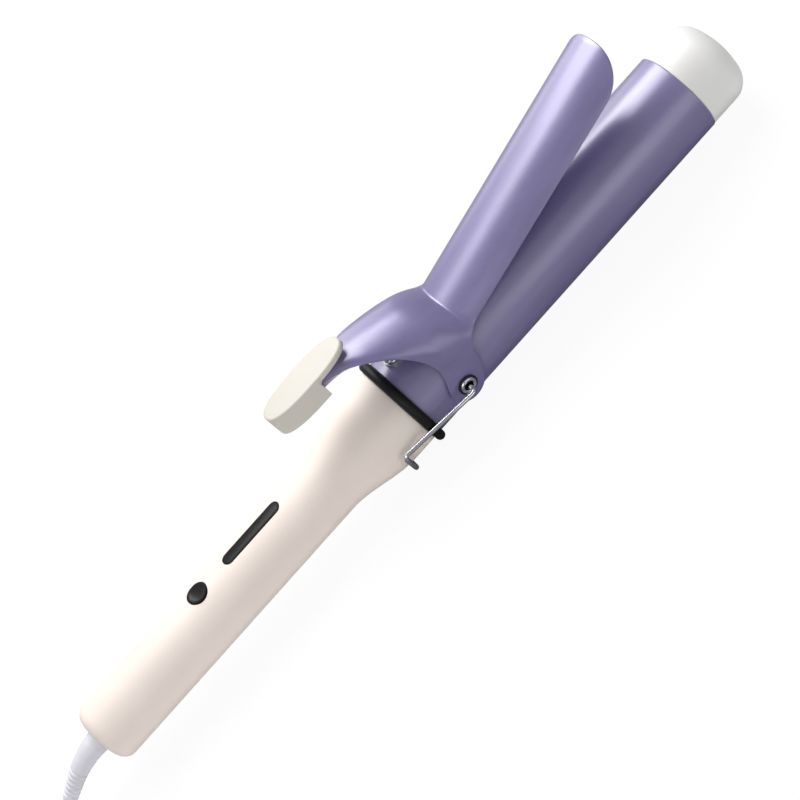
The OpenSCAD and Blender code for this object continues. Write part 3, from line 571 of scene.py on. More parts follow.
dress(drawn_aluminium, "spreader_upper", "spreader_lower")

# Sintered heater ceramic: cream, dry and matt, with a fine grain
sintered_ceramic = new_finish("sintered heater ceramic")
place = add_node(sintered_ceramic, "ShaderNodeTexCoord")
grit = add_node(sintered_ceramic, "ShaderNodeTexNoise",
    {"Vector": place.outputs["Object"], "Scale": 1 / (0.6 * MM), "Detail": 8})
grit_tone = add_node(sintered_ceramic, "ShaderNodeMix",
    {"Factor": grit.outputs["Fac"], 6: linear("#c9c2ad"), 7: linear("#e3dcc9")}, data_type="RGBA")
grit_bump = add_node(sintered_ceramic, "ShaderNodeBump",
    {"Height": grit.outputs["Fac"], "Strength": 0.4, "Distance": 0.05 * MM})
grit_skin = add_node(sintered_ceramic, "ShaderNodeBsdfPrincipled",
    {"Base Color": grit_tone.outputs[2], "Roughness": 0.75, "Normal": grit_bump.outputs[0]})
add_node(sintered_ceramic, "ShaderNodeOutputMaterial", {"Surface": grit_skin.outputs[0]})
dress(sintered_ceramic, "ptc_heater")

# Rolled spring steel: grey, with faint rolling lines and a dull shine
rolled_steel = new_finish("rolled spring steel")
place = add_node(rolled_steel, "ShaderNodeTexCoord")
roll_way = add_node(rolled_steel, "ShaderNodeMapping",
    {"Vector": place.outputs["Object"], "Scale": (0.05, 1, 1)})
roll_lines = add_node(rolled_steel, "ShaderNodeTexNoise",
    {"Vector": roll_way.outputs[0], "Scale": 1 / (0.3 * MM), "Detail": 5})
roll_tone = add_node(rolled_steel, "ShaderNodeMix",
    {"Factor": roll_lines.outputs["Fac"], 6: linear("#8f9296"), 7: linear("#b3b5b8")}, data_type="RGBA")
roll_rough = add_node(rolled_steel, "ShaderNodeMapRange",
    {"Value": roll_lines.outputs["Fac"], "To Min": 0.28, "To Max": 0.42})
roll_skin = add_node(rolled_steel, "ShaderNodeBsdfPrincipled",
    {"Base Color": roll_tone.outputs[2], "Metallic": 1, "Roughness": roll_rough.outputs[0]})
add_node(rolled_steel, "ShaderNodeOutputMaterial", {"Surface": roll_skin.outputs[0]})
dress(rolled_steel, "spreader_springs", "thermal_fuse")

# Dipped epoxy bead of the thermistor: amber, glossy, a little lumpy
dipped_epoxy = new_finish("dipped amber epoxy")
place = add_node(dipped_epoxy, "ShaderNodeTexCoord")
sag = add_node(dipped_epoxy, "ShaderNodeTexNoise",
    {"Vector": place.outputs["Object"], "Scale": 1 / (1.5 * MM), "Detail": 2})
sag_tone = add_node(dipped_epoxy, "ShaderNodeMix",
    {"Factor": sag.outputs["Fac"], 6: linear("#a8602a"), 7: linear("#cd8442")}, data_type="RGBA")
sag_bump = add_node(dipped_epoxy, "ShaderNodeBump",
    {"Height": sag.outputs["Fac"], "Strength": 0.3, "Distance": 0.1 * MM})
sag_skin = add_node(dipped_epoxy, "ShaderNodeBsdfPrincipled",
    {"Base Color": sag_tone.outputs[2], "Roughness": 0.2, "IOR": 1.55, "Normal": sag_bump.outputs[0]})
add_node(dipped_epoxy, "ShaderNodeOutputMaterial", {"Surface": sag_skin.outputs[0]})
dress(dipped_epoxy, "thermistor")

# Braided glass sleeve of the leads: off-white, with a criss-cross weave of about 0.4 mm
braided_glass = new_finish("braided glass sleeve")
place = add_node(braided_glass, "ShaderNodeTexCoord")
leaning = add_node(braided_glass, "ShaderNodeMapping",
    {"Vector": place.outputs["Object"], "Rotation": (0, 0, math.radians(35))})
one_way = add_node(braided_glass, "ShaderNodeTexWave",
    {"Vector": leaning.outputs[0], "Scale": 1 / (2 * 0.6 * MM)}, bands_direction="X")
other_way = add_node(braided_glass, "ShaderNodeTexWave",
    {"Vector": leaning.outputs[0], "Scale": 1 / (2 * 0.6 * MM)}, bands_direction="Y")
crossing = add_node(braided_glass, "ShaderNodeMath",
    {0: one_way.outputs["Fac"], 1: other_way.outputs["Fac"]}, operation="MULTIPLY")
braid_tone = add_node(braided_glass, "ShaderNodeMix",
    {"Factor": crossing.outputs[0], 6: linear("#cbc7bd"), 7: linear("#ece9e1")}, data_type="RGBA")
braid_bump = add_node(braided_glass, "ShaderNodeBump",
    {"Height": crossing.outputs[0], "Strength": 0.5, "Distance": 0.08 * MM})
braid_skin = add_node(braided_glass, "ShaderNodeBsdfPrincipled",
    {"Base Color": braid_tone.outputs[2], "Roughness": 0.7, "Normal": braid_bump.outputs[0]})
add_node(braided_glass, "ShaderNodeOutputMaterial", {"Surface": braid_skin.outputs[0]})
dress(braided_glass, "heater_leads")

# The barrel: a drawn aluminium tube, 38 mm across, sprayed and baked in a
# violet ceramic coat. Two holes take the eyelets of the clip.
barrel_r = 19 * MM
barrel_wall = 1.2 * MM
x_barrel = -2.55 * MM
x_seam = 157.95 * MM
x_pivot = 16.95 * MM
shank_r = 2.5 * MM
shank_clear = 0.1 * MM
shank_reach = 30 * MM
barrel_edge = 0.35 * MM


def cut(piece, tool):
    """Takes the tool's shape out of the piece."""
    spare = bpy.data.meshes.new("tool")
    tool.to_mesh(spare)
    tool.free()
    cutter = bpy.data.objects.new("tool", spare)
    bpy.context.scene.collection.objects.link(cutter)
    work = piece.modifiers.new("cut", "BOOLEAN")
    work.object = cutter
    work.operation = "DIFFERENCE"
    work.solver = "EXACT"
    bpy.context.view_layer.update()
    whole = bpy.data.meshes.new_from_object(piece.evaluated_get(bpy.context.evaluated_depsgraph_get()))
    piece.modifiers.remove(work)
    uncut = piece.data
    piece.data = whole
    bpy.data.meshes.remove(uncut)
    whole.name = piece.name
    bpy.data.objects.remove(cutter)
    bpy.data.meshes.remove(spare)


# Baked ceramic coat: violet with a fine pearl, satin. Its grains are drawn about
# 0.5 mm wide, coarser than they are, so that they show. Slow lighter and darker
# bands run along the tube.
def pearl_coat(name, deep, pale):
    finish = new_finish(name)
    place = add_node(finish, "ShaderNodeTexCoord")
    pearl = add_node(finish, "ShaderNodeTexNoise",
        {"Vector": place.outputs["Object"], "Scale": 1 / (0.55 * MM), "Detail": 4, "Roughness": 0.7})
    # Slow lighter and darker bands of colour along the tube
    long_bands_way = add_node(finish, "ShaderNodeMapping",
        {"Vector": place.outputs["Object"], "Scale": (0.12, 1, 1)})
    long_bands = add_node(finish, "ShaderNodeTexNoise",
        {"Vector": long_bands_way.outputs[0], "Scale": 1 / (7 * MM), "Detail": 3})
    speckle = add_node(finish, "ShaderNodeMapRange",
        {"Value": pearl.outputs["Fac"], "From Min": 0.3, "From Max": 0.7, "To Min": -0.16, "To Max": 0.16})
    depth = add_node(finish, "ShaderNodeMath",
        {0: long_bands.outputs["Fac"], 1: speckle.outputs[0]}, operation="ADD")
    tone = add_node(finish, "ShaderNodeMix",
        {"Factor": depth.outputs[0], 6: linear(deep), 7: linear(pale)}, data_type="RGBA")
    satin = add_node(finish, "ShaderNodeMapRange",
        {"Value": pearl.outputs["Fac"], "To Min": 0.3, "To Max": 0.46})
    peel = add_node(finish, "ShaderNodeBump",
        {"Height": pearl.outputs["Fac"], "Strength": 0.25, "Distance": 0.03 * MM})
    skin = add_node(finish, "ShaderNodeBsdfPrincipled",
        {"Base Color": tone.outputs[2], "Metallic": 0.2, "Roughness": satin.outputs[0],
         "Coat Weight": 0.9, "Coat Roughness": 0.3, "Coat IOR": 1.85, "Normal": peel.outputs[0]})
    add_node(finish, "ShaderNodeOutputMaterial", {"Surface": skin.outputs[0]})
    return finish


barrel_coat = pearl_coat("baked ceramic coat on aluminium", "#6b648e", "#857ea9")
on_axis = (0, 0, AXIS_Z)
tube_profile = [
    (x_barrel, barrel_r - barrel_wall), (x_barrel, barrel_r), (x_seam, barrel_r),
    (x_seam, barrel_r - barrel_wall),
]
tube = spun(tube_profile, on_axis, "X", {2: barrel_edge, 1: barrel_edge}, 128)
barrel = settle(tube, "barrel_tube_coated", barrel_coat, "handle", ["barrel_tube"])
shank_hole = [
    (-shank_reach, 0), (-shank_reach, shank_r + shank_clear), (shank_reach, shank_r + shank_clear),
    (shank_reach, 0),
]
at_pivot = (x_pivot, 0, AXIS_Z)
cut(barrel, spun(shank_hole, at_pivot, "Y", steps=32))

# The tip cap: heat-resistant white plastic, moulded, with a full rounded edge
# and a slightly domed end. It stays cool to hold and is pushed into the barrel.
cap_len = 24 * MM
cap_r = 18.75 * MM
cap_round = 8.5 * MM
cap_dome = 1.5 * MM
cap_wall = 2.2 * MM
cap_spigot = 9 * MM
cap_lip = 0.5 * MM
cap_inner_round = 3 * MM
cap_dome_steps = 5
spigot_r = 17.7 * MM
x_end = x_seam + cap_len
x_flat = x_end - cap_dome
cap_flat_r = cap_r - cap_round


# Moulded plastic: nearly even in colour, with the fine grain of a spark-eroded mould.
# The grain is given in millimetres, and slow clouds of 22 mm show how the melt flowed.
def moulded(name, deep, pale, rough, grain=0.35, strength=0.3, ior=1.5):
    finish = new_finish(name)
    place = add_node(finish, "ShaderNodeTexCoord")
    mould = add_node(finish, "ShaderNodeTexNoise",
        {"Vector": place.outputs["Object"], "Scale": 1 / (grain * MM), "Detail": 4, "Roughness": 0.65})
    flow = add_node(finish, "ShaderNodeTexNoise",
        {"Vector": place.outputs["Object"], "Scale": 1 / (22 * MM), "Detail": 2})
    mottle = add_node(finish, "ShaderNodeMapRange",
        {"Value": mould.outputs["Fac"], "From Min": 0.3, "From Max": 0.7, "To Min": -0.22, "To Max": 0.22})
    depth = add_node(finish, "ShaderNodeMath",
        {0: flow.outputs["Fac"], 1: mottle.outputs[0]}, operation="ADD")
    tone = add_node(finish, "ShaderNodeMix",
        {"Factor": depth.outputs[0], 6: linear(deep), 7: linear(pale)}, data_type="RGBA")
    worn = add_node(finish, "ShaderNodeMapRange",
        {"Value": mould.outputs["Fac"], "To Min": rough - 0.06, "To Max": rough + 0.08})
    grained = add_node(finish, "ShaderNodeBump",
        {"Height": mould.outputs["Fac"], "Strength": strength, "Distance": 0.02 * MM})
    skin = add_node(finish, "ShaderNodeBsdfPrincipled",
        {"Base Color": tone.outputs[2], "Roughness": worn.outputs[0], "IOR": ior,
         "Normal": grained.outputs[0]})
    add_node(finish, "ShaderNodeOutputMaterial", {"Surface": skin.outputs[0]})
    return finish


cap_plastic = moulded("glass-filled white polyester", "#d9d8d4", "#e3e2df", 0.4)
cap_slope = 2 * cap_dome / cap_flat_r
cap_dome_points = [
    (x_end - cap_dome * (i / cap_dome_steps) ** 2, cap_flat_r * i / cap_dome_steps)
    for i in range(cap_dome_steps, -1, -1)
]
cap_profile = [
    (x_end - 1.5 * cap_wall, 0), (x_end - 1.5 * cap_wall, cap_flat_r),
    (x_flat - cap_round, spigot_r - cap_wall),
    (x_seam - cap_spigot, spigot_r - cap_wall), (x_seam - cap_spigot, spigot_r), (x_seam, spigot_r),
    (x_seam, cap_r), (x_flat - cap_slope * cap_round, cap_r),
] + cap_dome_points
cap_rounds = {7: 0.75 * cap_round, 6: cap_lip, 2: cap_inner_round}
settle(spun(cap_profile, on_axis, "X", cap_rounds, 128), "tip_cap_moulding", cap_plastic, "handle",
    ["tip_cap"])

# The holder and the guard ring: black heat-resistant plastic. The holder joins
# barrel and handle and is hidden in them; the ring shows between the two.
x_ring = -6.75 * MM

black_plastic = moulded("black glass-filled nylon", "#080808", "#100f10", 0.5, grain=0.5, strength=0.2,
    ior=1.38)
dress(black_plastic, "barrel_holder", "guard_ring")

# The handle: one moulding of warm white plastic, 2 mm thick, matt and a little
# soft to the touch. It is pushed on the holder and held by a screw from below.
handle_wall = 2 * MM
rear_wall = 3 * MM
grip_r = 13.9 * MM
neck_r = 19 * MM
neck_len = 10.5 * MM
flare_len = 32 * MM
flare_steps = 16
end_round = 5 * MM
inner_round = 2 * MM
mouth_round = 0.4 * MM
relief_clear = 0.1 * MM
relief_hole_r = relief_neck_r * MM + relief_clear
window_len = 31.6 * MM
window_w = 5.8 * MM
x_window = x_pivot - 99 * MM
window_clear = 0.2 * MM
button_r = 4.8 * MM
button_clear = 0.15 * MM
x_button = x_pivot - 130.3 * MM
top_cut_low = 8 * MM
top_cut_high = 20 * MM
screw_r = 1.55 * MM
screw_head_r = 2.8 * MM
screw_sunk = 1.2 * MM
screw_cut_low = -22 * MM
screw_cut_high = -14 * MM

handle_plastic = moulded("soft-touch warm white ABS", "#dfd2c9", "#e8ddd4", 0.5, grain=0.4, strength=0.35)


def flare(share):
    """Radius of the handle from the neck, at 0, to the grip, at 1."""
    return grip_r + (neck_r - grip_r) * (1 + math.cos(math.pi * share)) / 2


flare_places = [
    (x_ring - neck_len - flare_len * i / flare_steps, flare(i / flare_steps))
    for i in range(flare_steps + 1)
]
outside = [(x_ring, neck_r)] + flare_places + [(X_TAIL, grip_r), (X_TAIL, relief_hole_r)]
inside = [(X_TAIL + rear_wall, relief_hole_r), (X_TAIL + rear_wall, grip_r - handle_wall)]
inside += [(x, radius - handle_wall) for x, radius in reversed(flare_places)]
inside += [(x_ring, neck_r - handle_wall)]
last_outside = len(outside) - 1
handle_rounds = {
    last_outside - 1: end_round, 0: mouth_round, last_outside + 2: inner_round, last_outside: mouth_round,
}
handle = settle(spun(outside + inside, on_axis, "X", handle_rounds, 128), "handle_moulding",
    handle_plastic, "handle", ["handle_shell"])


def capsule(x, length, width, points=12):
    """A round-ended outline along X, round the point x, 0."""
    line = (length - width) / 2
    outline = []
    for middle, start in ((x + line, -90), (x - line, 90)):
        for i in range(points + 1):
            angle = math.radians(start + 180 * i / points)
            outline.append((middle + width / 2 * math.cos(angle), width / 2 * math.sin(angle)))
    return outline


window_hole = capsule(x_window, window_len + window_clear, window_w + window_clear)
cut(handle, slab(window_hole, AXIS_Z + top_cut_low, AXIS_Z + top_cut_high))
button_hole = [
    (top_cut_low, 0), (top_cut_low, button_r + button_clear), (top_cut_high, button_r + button_clear),
    (top_cut_high, 0),
]
cut(handle, spun(button_hole, (x_button, 0, AXIS_Z), "Z"))
x_screw = x_ring - neck_len / 2
screw_hole = [
    (screw_cut_low, 0), (screw_cut_low, screw_head_r), (-neck_r + screw_sunk, screw_head_r),
    (-neck_r + screw_sunk, screw_r), (screw_cut_high, screw_r), (screw_cut_high, 0),
]
cut(handle, spun(screw_hole, (x_screw, 0, AXIS_Z), "Z", steps=40))

# The neck screw and the two screws of the cord's clamp: small steel screws, as the
# frame gives them. The first shows in its hole under the neck.

# Steel blackened in oil: dark grey, with a dull shine that varies in spots of 0.8 mm
blackened_steel = new_finish("oil-blackened steel")
place = add_node(blackened_steel, "ShaderNodeTexCoord")
scale_marks = add_node(blackened_steel, "ShaderNodeTexNoise",
    {"Vector": place.outputs["Object"], "Scale": 1 / (0.8 * MM), "Detail": 5})
oil_tone = add_node(blackened_steel, "ShaderNodeMix",
    {"Factor": scale_marks.outputs["Fac"], 6: linear("#3c3d40"), 7: linear("#66686c")}, data_type="RGBA")
oil_rough = add_node(blackened_steel, "ShaderNodeMapRange",
    {"Value": scale_marks.outputs["Fac"], "To Min": 0.28, "To Max": 0.48})
oil_skin = add_node(blackened_steel, "ShaderNodeBsdfPrincipled",
    {"Base Color": oil_tone.outputs[2], "Metallic": 1, "Roughness": oil_rough.outputs[0]})
add_node(blackened_steel, "ShaderNodeOutputMaterial", {"Surface": oil_skin.outputs[0]})
dress(blackened_steel, "neck_screw", "clamp_screws")

# The control board in its tray, hidden in the grip, with the cord's clamp behind
# it. The tray and the clamp are moulded, and the board is glass laminate.
inner_plastic = moulded("natural polypropylene", "#dcdad3", "#eae8e2", 0.5, grain=0.6)
dress(inner_plastic, "board_frame", "cord_clamp")
dress(pvc_flex, "cord_end")

# Glass laminate under green solder resist: paler strips of copper, about 2 mm wide,
# show through it
solder_resist = new_finish("green solder resist on glass laminate")
place = add_node(solder_resist, "ShaderNodeTexCoord")
tracks_way = add_node(solder_resist, "ShaderNodeMapping",
    {"Vector": place.outputs["Object"], "Scale": (0.25, 1, 1)})
tracks = add_node(solder_resist, "ShaderNodeTexVoronoi",
    {"Vector": tracks_way.outputs[0], "Scale": 1 / (3.2 * MM), "Randomness": 0.6}, distance="CHEBYCHEV",
    feature="F1")
track_edge = add_node(solder_resist, "ShaderNodeMath",
    {0: tracks.outputs["Distance"], 1: 0.32}, operation="GREATER_THAN")
resist_tone = add_node(solder_resist, "ShaderNodeMix",
    {"Factor": track_edge.outputs[0], 6: linear("#2c6e45"), 7: linear("#1f5434")}, data_type="RGBA")
resist_bump = add_node(solder_resist, "ShaderNodeBump",
    {"Height": track_edge.outputs[0], "Strength": 0.4, "Distance": 0.035 * MM})
resist_skin = add_node(solder_resist, "ShaderNodeBsdfPrincipled",
    {"Base Color": resist_tone.outputs[2], "Roughness": 0.32, "Normal": resist_bump.outputs[0]})
add_node(solder_resist, "ShaderNodeOutputMaterial", {"Surface": resist_skin.outputs[0]})
dress(solder_resist, "control_board")

# The parts on the board, hidden in the grip: a yellow boxed capacitor, a black
# switch for the heater current, a white digit block, and a small black key with its
# plunger under the button.
dress(moulded("yellow capacitor box", "#b8921e", "#d4ad34", 0.38, grain=0.7), "film_capacitor")
dress(moulded("black epoxy package", "#141416", "#242427", 0.55, grain=0.25, strength=0.5), "triac")
dress(moulded("white diffuser resin", "#d9dcde", "#e8eaec", 0.42, grain=0.5), "led_display")
dress(moulded("black key housing", "#26282b", "#34373b", 0.45, grain=0.5), "tact_switch")
dress(moulded("black acetal", "#121314", "#1c1d1f", 0.3, grain=0.5), "switch_plunger")

# The display window: smoked acrylic, curved like the grip. Its border is near black
# and its middle a dull dark grey while the digits are off.
window_proud = 0.05 * MM
window_low = 9.3 * MM
window_border = 0.75 * MM
window_edge = 0.25 * MM
window_cuts = (-1.2 * MM, -0.4 * MM, 0.4 * MM, 1.2 * MM)
curved_above = 10 * MM

smoked_acrylic = moulded("smoked acrylic", "#1b1819", "#242122", 0.2, grain=2.2, strength=0.05, ior=1.24)
near_black_rim = moulded("near-black rim", "#040304", "#080607", 0.5, grain=0.8, strength=0.05, ior=1.24)


def curve_top(shape, above, radius):
    """Lays the upper side of a flat body on the round of the grip."""
    for vert in shape.verts:
        if vert.co.z > above:
            vert.co.z += math.sqrt(radius ** 2 - vert.co.y ** 2) - radius


window_outline = capsule(x_window, window_len, window_w)
window = slab(window_outline, AXIS_Z + window_low, AXIS_Z + grip_r + window_proud)
window_top = [face for face in window.faces if face.normal.z > 0.9]
round_edges(window, list(window_top[0].edges), window_edge, 3)
window_top = [face for face in window.faces if face.normal.z > 0.99]
bmesh.ops.inset_region(window, faces=window_top, thickness=window_border, depth=0, use_even_offset=True)
# The border faces are near black, the middle faces a dull dark grey.
for face in window.faces:
    face.material_index = 1
for face in window_top:
    face.material_index = 0
for y in window_cuts:
    bmesh.ops.bisect_plane(window, geom=window.verts[:] + window.edges[:] + window.faces[:],
        plane_co=(0, y, 0), plane_no=(0, 1, 0))
curve_top(window, AXIS_Z + curved_above, grip_r + window_proud)
display_window = settle(window, "display_window_lens", smoked_acrylic, "handle",
    ["display_window"])
display_window.data.materials.append(near_black_rim)

# The power button: black plastic, dished, with a rounded rim. It stands half a
# millimetre proud of the grip and slides down on the key of the board.
button_proud = 0.5 * MM
button_top = grip_r + button_proud
button_low = 8.3 * MM
button_flange_r = button_r + 1.4 * MM
button_flange_z = 9.1 * MM
button_flange_t = 0.9 * MM
button_rim = 1.1 * MM
button_dish = 0.25 * MM
button_dish_r = 2 * MM
button_rim_round = 0.4 * MM
button_dish_round = 1.2 * MM
button_curved_above = 12 * MM
button_ring = 0.8 * MM
button_profile = [
    (button_low, 0), (button_low, button_r), (button_flange_z, button_r), (button_flange_z, button_flange_r),
    (button_flange_z + button_flange_t, button_flange_r), (button_flange_z + button_flange_t, button_r),
    (button_top, button_r), (button_top, button_r - button_rim), (button_top - button_dish, button_dish_r),
    (button_top - button_dish, 0),
]
button_rounds = {6: button_rim_round, 8: button_dish_round}
button = spun(button_profile, (x_button, 0, AXIS_Z), "Z", button_rounds, 64)
curve_top(button, AXIS_Z + button_curved_above, button_top)
# The outer ring of the button's top is near black, the middle a dull dark grey.
for face in button.faces:
    off_centre = (face.calc_center_median().xy - Vector((x_button, 0))).length
    face.material_index = 0 if off_centre < button_r - button_ring else 1
power_button = settle(button, "power_button_cap", smoked_acrylic, "button",
    ["power_button"], sharp=50)
power_button.data.materials.append(near_black_rim)

# The clip: one sheet of pressed steel, 1.1 mm thick, coated like the barrel. Its
# blade wraps the barrel, its ears turn on the eyelets and its lever runs back.
sheet_t = 1.1 * MM
sheet_edge = 0.25 * MM
clip_open = math.radians(15)

# Sizes of the sheet, in millimetres from the pivot, with the clip closed
barrel_clear = 0.5
clip_out = 19 + barrel_clear + 1.1
blade_wrap = math.radians(57)
blade_len = 136.3
tip_len = 20
blade_edge = clip_out * math.cos(blade_wrap)
tip_half_w = clip_out * math.sin(blade_wrap)
ear_r = 8
ear_high = 4
ear_line = 6.4
ear_rows = 13

# The closed clip along its crown: ahead of the pivot, height of the crown, height of
# its arch, half width
crown = [
    (-60, 63, 2.4, 5.2), (-38, 58.2, 2.4, 5.2), (-28, 55.4, 2.5, 5.5), (-20, 52.8, 2.9, 6.5),
    (-14, 49.9, 3.6, 8.7), (-7, 45.7, 7.2, 12.8), (-2, 42.5, 12.2, 16.2), (3, 39.2, 17, 19),
    (8, 35.8, clip_out, clip_out), (12.5, 32.4, clip_out, clip_out), (16, 28.8, clip_out, clip_out),
    (18.6, 25.2, clip_out, clip_out), (20.3, 22.3, clip_out, clip_out),
    (21.6, clip_out, clip_out, clip_out), (25, clip_out, clip_out, clip_out),
    (200, clip_out, clip_out, clip_out),
]
# Where the sheet's rows start on the crown, how far ahead they come down, where they
# end on the lower edge (ahead, up), and into how many the gap to the next row is split.
# Between the two corners of the ear they end on a level line, and the flat ear below
# that line is one face.
rows = [
    (27, 27, 27, blade_edge, 3), (23.4, 22.8, 22.4, blade_edge, 6), (20.6, 19.4, 18.8, 10.8, 4),
    (18.4, 16.6, 15.8, 9.4, 2), (16.8, 14.6, 13.6, ear_line, 1),
]
rows += [
    (16.8 - 11.2 * i / ear_rows, 14.6 - 6.6 * i / ear_rows, 13.6 - 19 * i / ear_rows, ear_line, 1)
    for i in range(1, ear_rows)
]
rows += [
    (5.6, 8, -5.4, ear_line, 2), (3.8, 6, -2.6, 10, 2), (2.4, 4, -0.4, 14.6, 2), (1.2, 1.6, 0.5, 20, 2),
    (-0.6, -0.1, 0, 25.8, 3), (-3.4, -3, -2.8, 33.2, 3), (-8.2, -8.1, -8, 39.9, 3),
    (-14.5, -14.5, -14.5, 45.5, 3), (-20, -20, -20, 47.7, 3), (-28, -28, -28, 49.8, 3),
    (-36, -36, -36, 52, 1),
]


def between(a, b, c, d, share):
    """A smooth value between b and c, with a and d on either side."""
    return b + 0.5 * share * (c - a + share * (2 * a - 5 * b + 4 * c - d + share * (3 * (b - c) + d - a)))


def crown_at(ahead_mm):
    """Height, arch and half width of the crown at that place, in smooth curves through the sections."""
    i = max(k for k in range(len(crown) - 1) if crown[k][0] <= ahead_mm or k == 0)
    a, b, c, d = crown[max(i - 1, 0)], crown[i], crown[i + 1], crown[min(i + 2, len(crown) - 1)]
    length = c[0] - b[0]
    s = (ahead_mm - b[0]) / length
    found = []
    for j in (1, 2, 3):
        slope_b = 0 if b[j] in (a[j], c[j]) else (c[j] - a[j]) / (c[0] - a[0])
        slope_c = 0 if c[j] in (b[j], d[j]) else (d[j] - b[j]) / (d[0] - b[0])
        found.append((2 * s ** 3 - 3 * s ** 2 + 1) * b[j] + (s ** 3 - 2 * s ** 2 + s) * length * slope_b
            + (3 * s ** 2 - 2 * s ** 3) * c[j] + (s ** 3 - s ** 2) * length * slope_c)
    return found


# From this place back, over this length, the foot of the arch leans out by up to this
# many degrees, as the lever is flatter than the dome
lever_from = -6
lever_fade = 12
lever_foot = 40
# Millimetres over which the crease is evened out on the crown, the same for the sides,
# and the share at which it starts to fade
crease_reach = 0.2
crease_fade = 12
crease_until = 0.3


def arch_point(ahead_mm, share):
    """A point of the arch, with share 0 on the crown and 1 at the arch's foot.
    The crease is sharp on the crown and fades out down the sides."""
    back = min(1, max(0, (lever_from - ahead_mm) / lever_fade))
    foot_angle = math.radians(lever_foot * back * back * (3 - 2 * back))
    angle = math.radians(90) * (1 - share) + foot_angle * share
    reach = crease_reach + crease_fade * max(0, share - crease_until) ** 1.5
    up = 0
    for step in (-1, -0.5, 0, 0.5, 1):
        height, arch, half = crown_at(ahead_mm + reach * step)
        arch = min(arch, height)
        up += (height - arch * (1 - math.sin(angle)) / (1 - math.sin(foot_angle))) / 5
    return Vector((ahead_mm, crown_at(ahead_mm)[2] * math.cos(angle) / math.cos(foot_angle), up))


columns = 32
# Places of the last points in a row, from the lower edge, as shares of the rim. The
# rim is turned in behind the ear, and the points stand closer together at its fold.
near_edge = (1.4, 1.1, 1, 0.88, 0.45, 0)
rim_wide = 2.1
rim_less = 1.2
rim_space = 1.7
# Below the arch's foot the sheet hangs as a skirt. So many millimetres of it take as
# long a share of a row as the arch does.
skirt_share = 20
halvings = 20
samples = 12
fine_rows = []
for i in range(len(rows) - 1):
    around = [rows[max(i - 1, 0)], rows[i], rows[i + 1], rows[min(i + 2, len(rows) - 1)]]
    for k in range(rows[i][4]):
        fine_rows.append([between(*[row[j] for row in around], k / rows[i][4]) for j in range(4)])
fine_rows.append(rows[-1][:4])
blade_places = (116, 110, 104, 98, 92, 86, 80, 74, 68, 62, 56, 50, 44, 38, 34, 31, 29)
blade_rows = [(x, x, x, blade_edge) for x in blade_places]


def row_points(start, over, end, low):
    """One row of the sheet, from the crown down to its edge."""
    foot = arch_point(end, 1).z
    last = 1 + max(0, foot - low) / skirt_share
    if low > foot:
        first = 0
        for i in range(halvings):
            half_way = (first + last) / 2
            if arch_point(end, half_way).z > low:
                first = half_way
            else:
                last = half_way

    def ahead_at(s):
        left = 1 - s
        return left ** 3 * start + 3 * s * left * left * start + 3 * s * s * left * over + s ** 3 * end

    def at(s):
        ahead_mm = ahead_at(s)
        if last * s <= 1:
            return arch_point(ahead_mm, last * s)
        top = arch_point(ahead_at(1 / last), 1).z
        up = top + (low - top) * (s - 1 / last) / (1 - 1 / last)
        down = min(1, (top - up) / (top - min(ear_high, top - 1)))
        half = crown_at(ahead_mm)[2]
        return Vector((ahead_mm, half + (clip_out - half) * down * down * (3 - 2 * down), up))

    length = sum((at((k + 1) / samples) - at(k / samples)).length for k in range(samples))
    rim_len = rim_wide - rim_less * min(1, max(0, (-3 - end) / 5))
    rim = rim_len / length if end > -8 or foot - low < rim_len else 1 - 1 / last
    above = 1 - rim_space * rim
    points = [at(above * k / columns) for k in range(columns + 1)]
    return points + [at(1 - rim * share) for share in near_edge]


# The tip: rows that turn from straight across to the outline of the tip, which is
# fuller than an ellipse
tip_rows = []
tip_steps = 9
tip_from = 50
fullness = 2.75
first_side = math.sin(math.radians(tip_from)) ** (2 / fullness)
tip_shares = [0.9 * k / columns for k in range(columns + 1)] + [0.92, 0.94, 0.95, 0.96, 0.98, 1]


def tip_back(side):
    """How far the tip's outline lies back at that share of the half width, as a share of tip_len."""
    return 1 - (1 - side ** fullness) ** (1 / fullness)


for i in range(tip_steps):
    angle = math.radians(tip_from + (90 - tip_from) * i / tip_steps)
    start = blade_len - tip_len * i / tip_steps
    end = blade_len - tip_len + tip_len * math.cos(angle) ** (2 / fullness)
    half = tip_half_w * math.sin(angle) ** (2 / fullness)
    row = []
    for share in tip_shares:
        side = half * share
        bow = tip_back(first_side * share) / tip_back(first_side)
        row.append(Vector((start + (end - start) * bow, side, math.sqrt(clip_out ** 2 - side ** 2))))
    tip_rows.append(row)

all_rows = tip_rows + [row_points(*row) for row in blade_rows + fine_rows]

# Behind the ear the rim is turned in, more and more up to the lever
turn_in = 1.1
for row in all_rows:
    if row[-1].x < 3:
        turned = turn_in * min(1, max(0, (row[-1].z - 7) / 20))
        inward = (Vector((row[-1].x, 0, row[-1].z - 2.5)) - row[-1]).normalized()
        for point, share in zip(row[-3:], near_edge[-3:]):
            point += turned * (1 - share) * inward

# The sheet: one row of points is drawn, then pulled out from row to row
sheet = bmesh.new()
line = [sheet.verts.new(point) for point in all_rows[0]]
front = [sheet.edges.new(pair) for pair in zip(line, line[1:])]
for points in all_rows[1:]:
    grown = bmesh.ops.extrude_edge_only(sheet, edges=front)["geom"]
    front = [part for part in grown if isinstance(part, bmesh.types.BMEdge)]
    new = {part for part in grown if isinstance(part, bmesh.types.BMVert)}
    line = [
        next(edge.other_vert(old) for edge in old.link_edges if edge.other_vert(old) in new) for old in line
    ]
    for vert, point in zip(line, points):
        vert.co = point

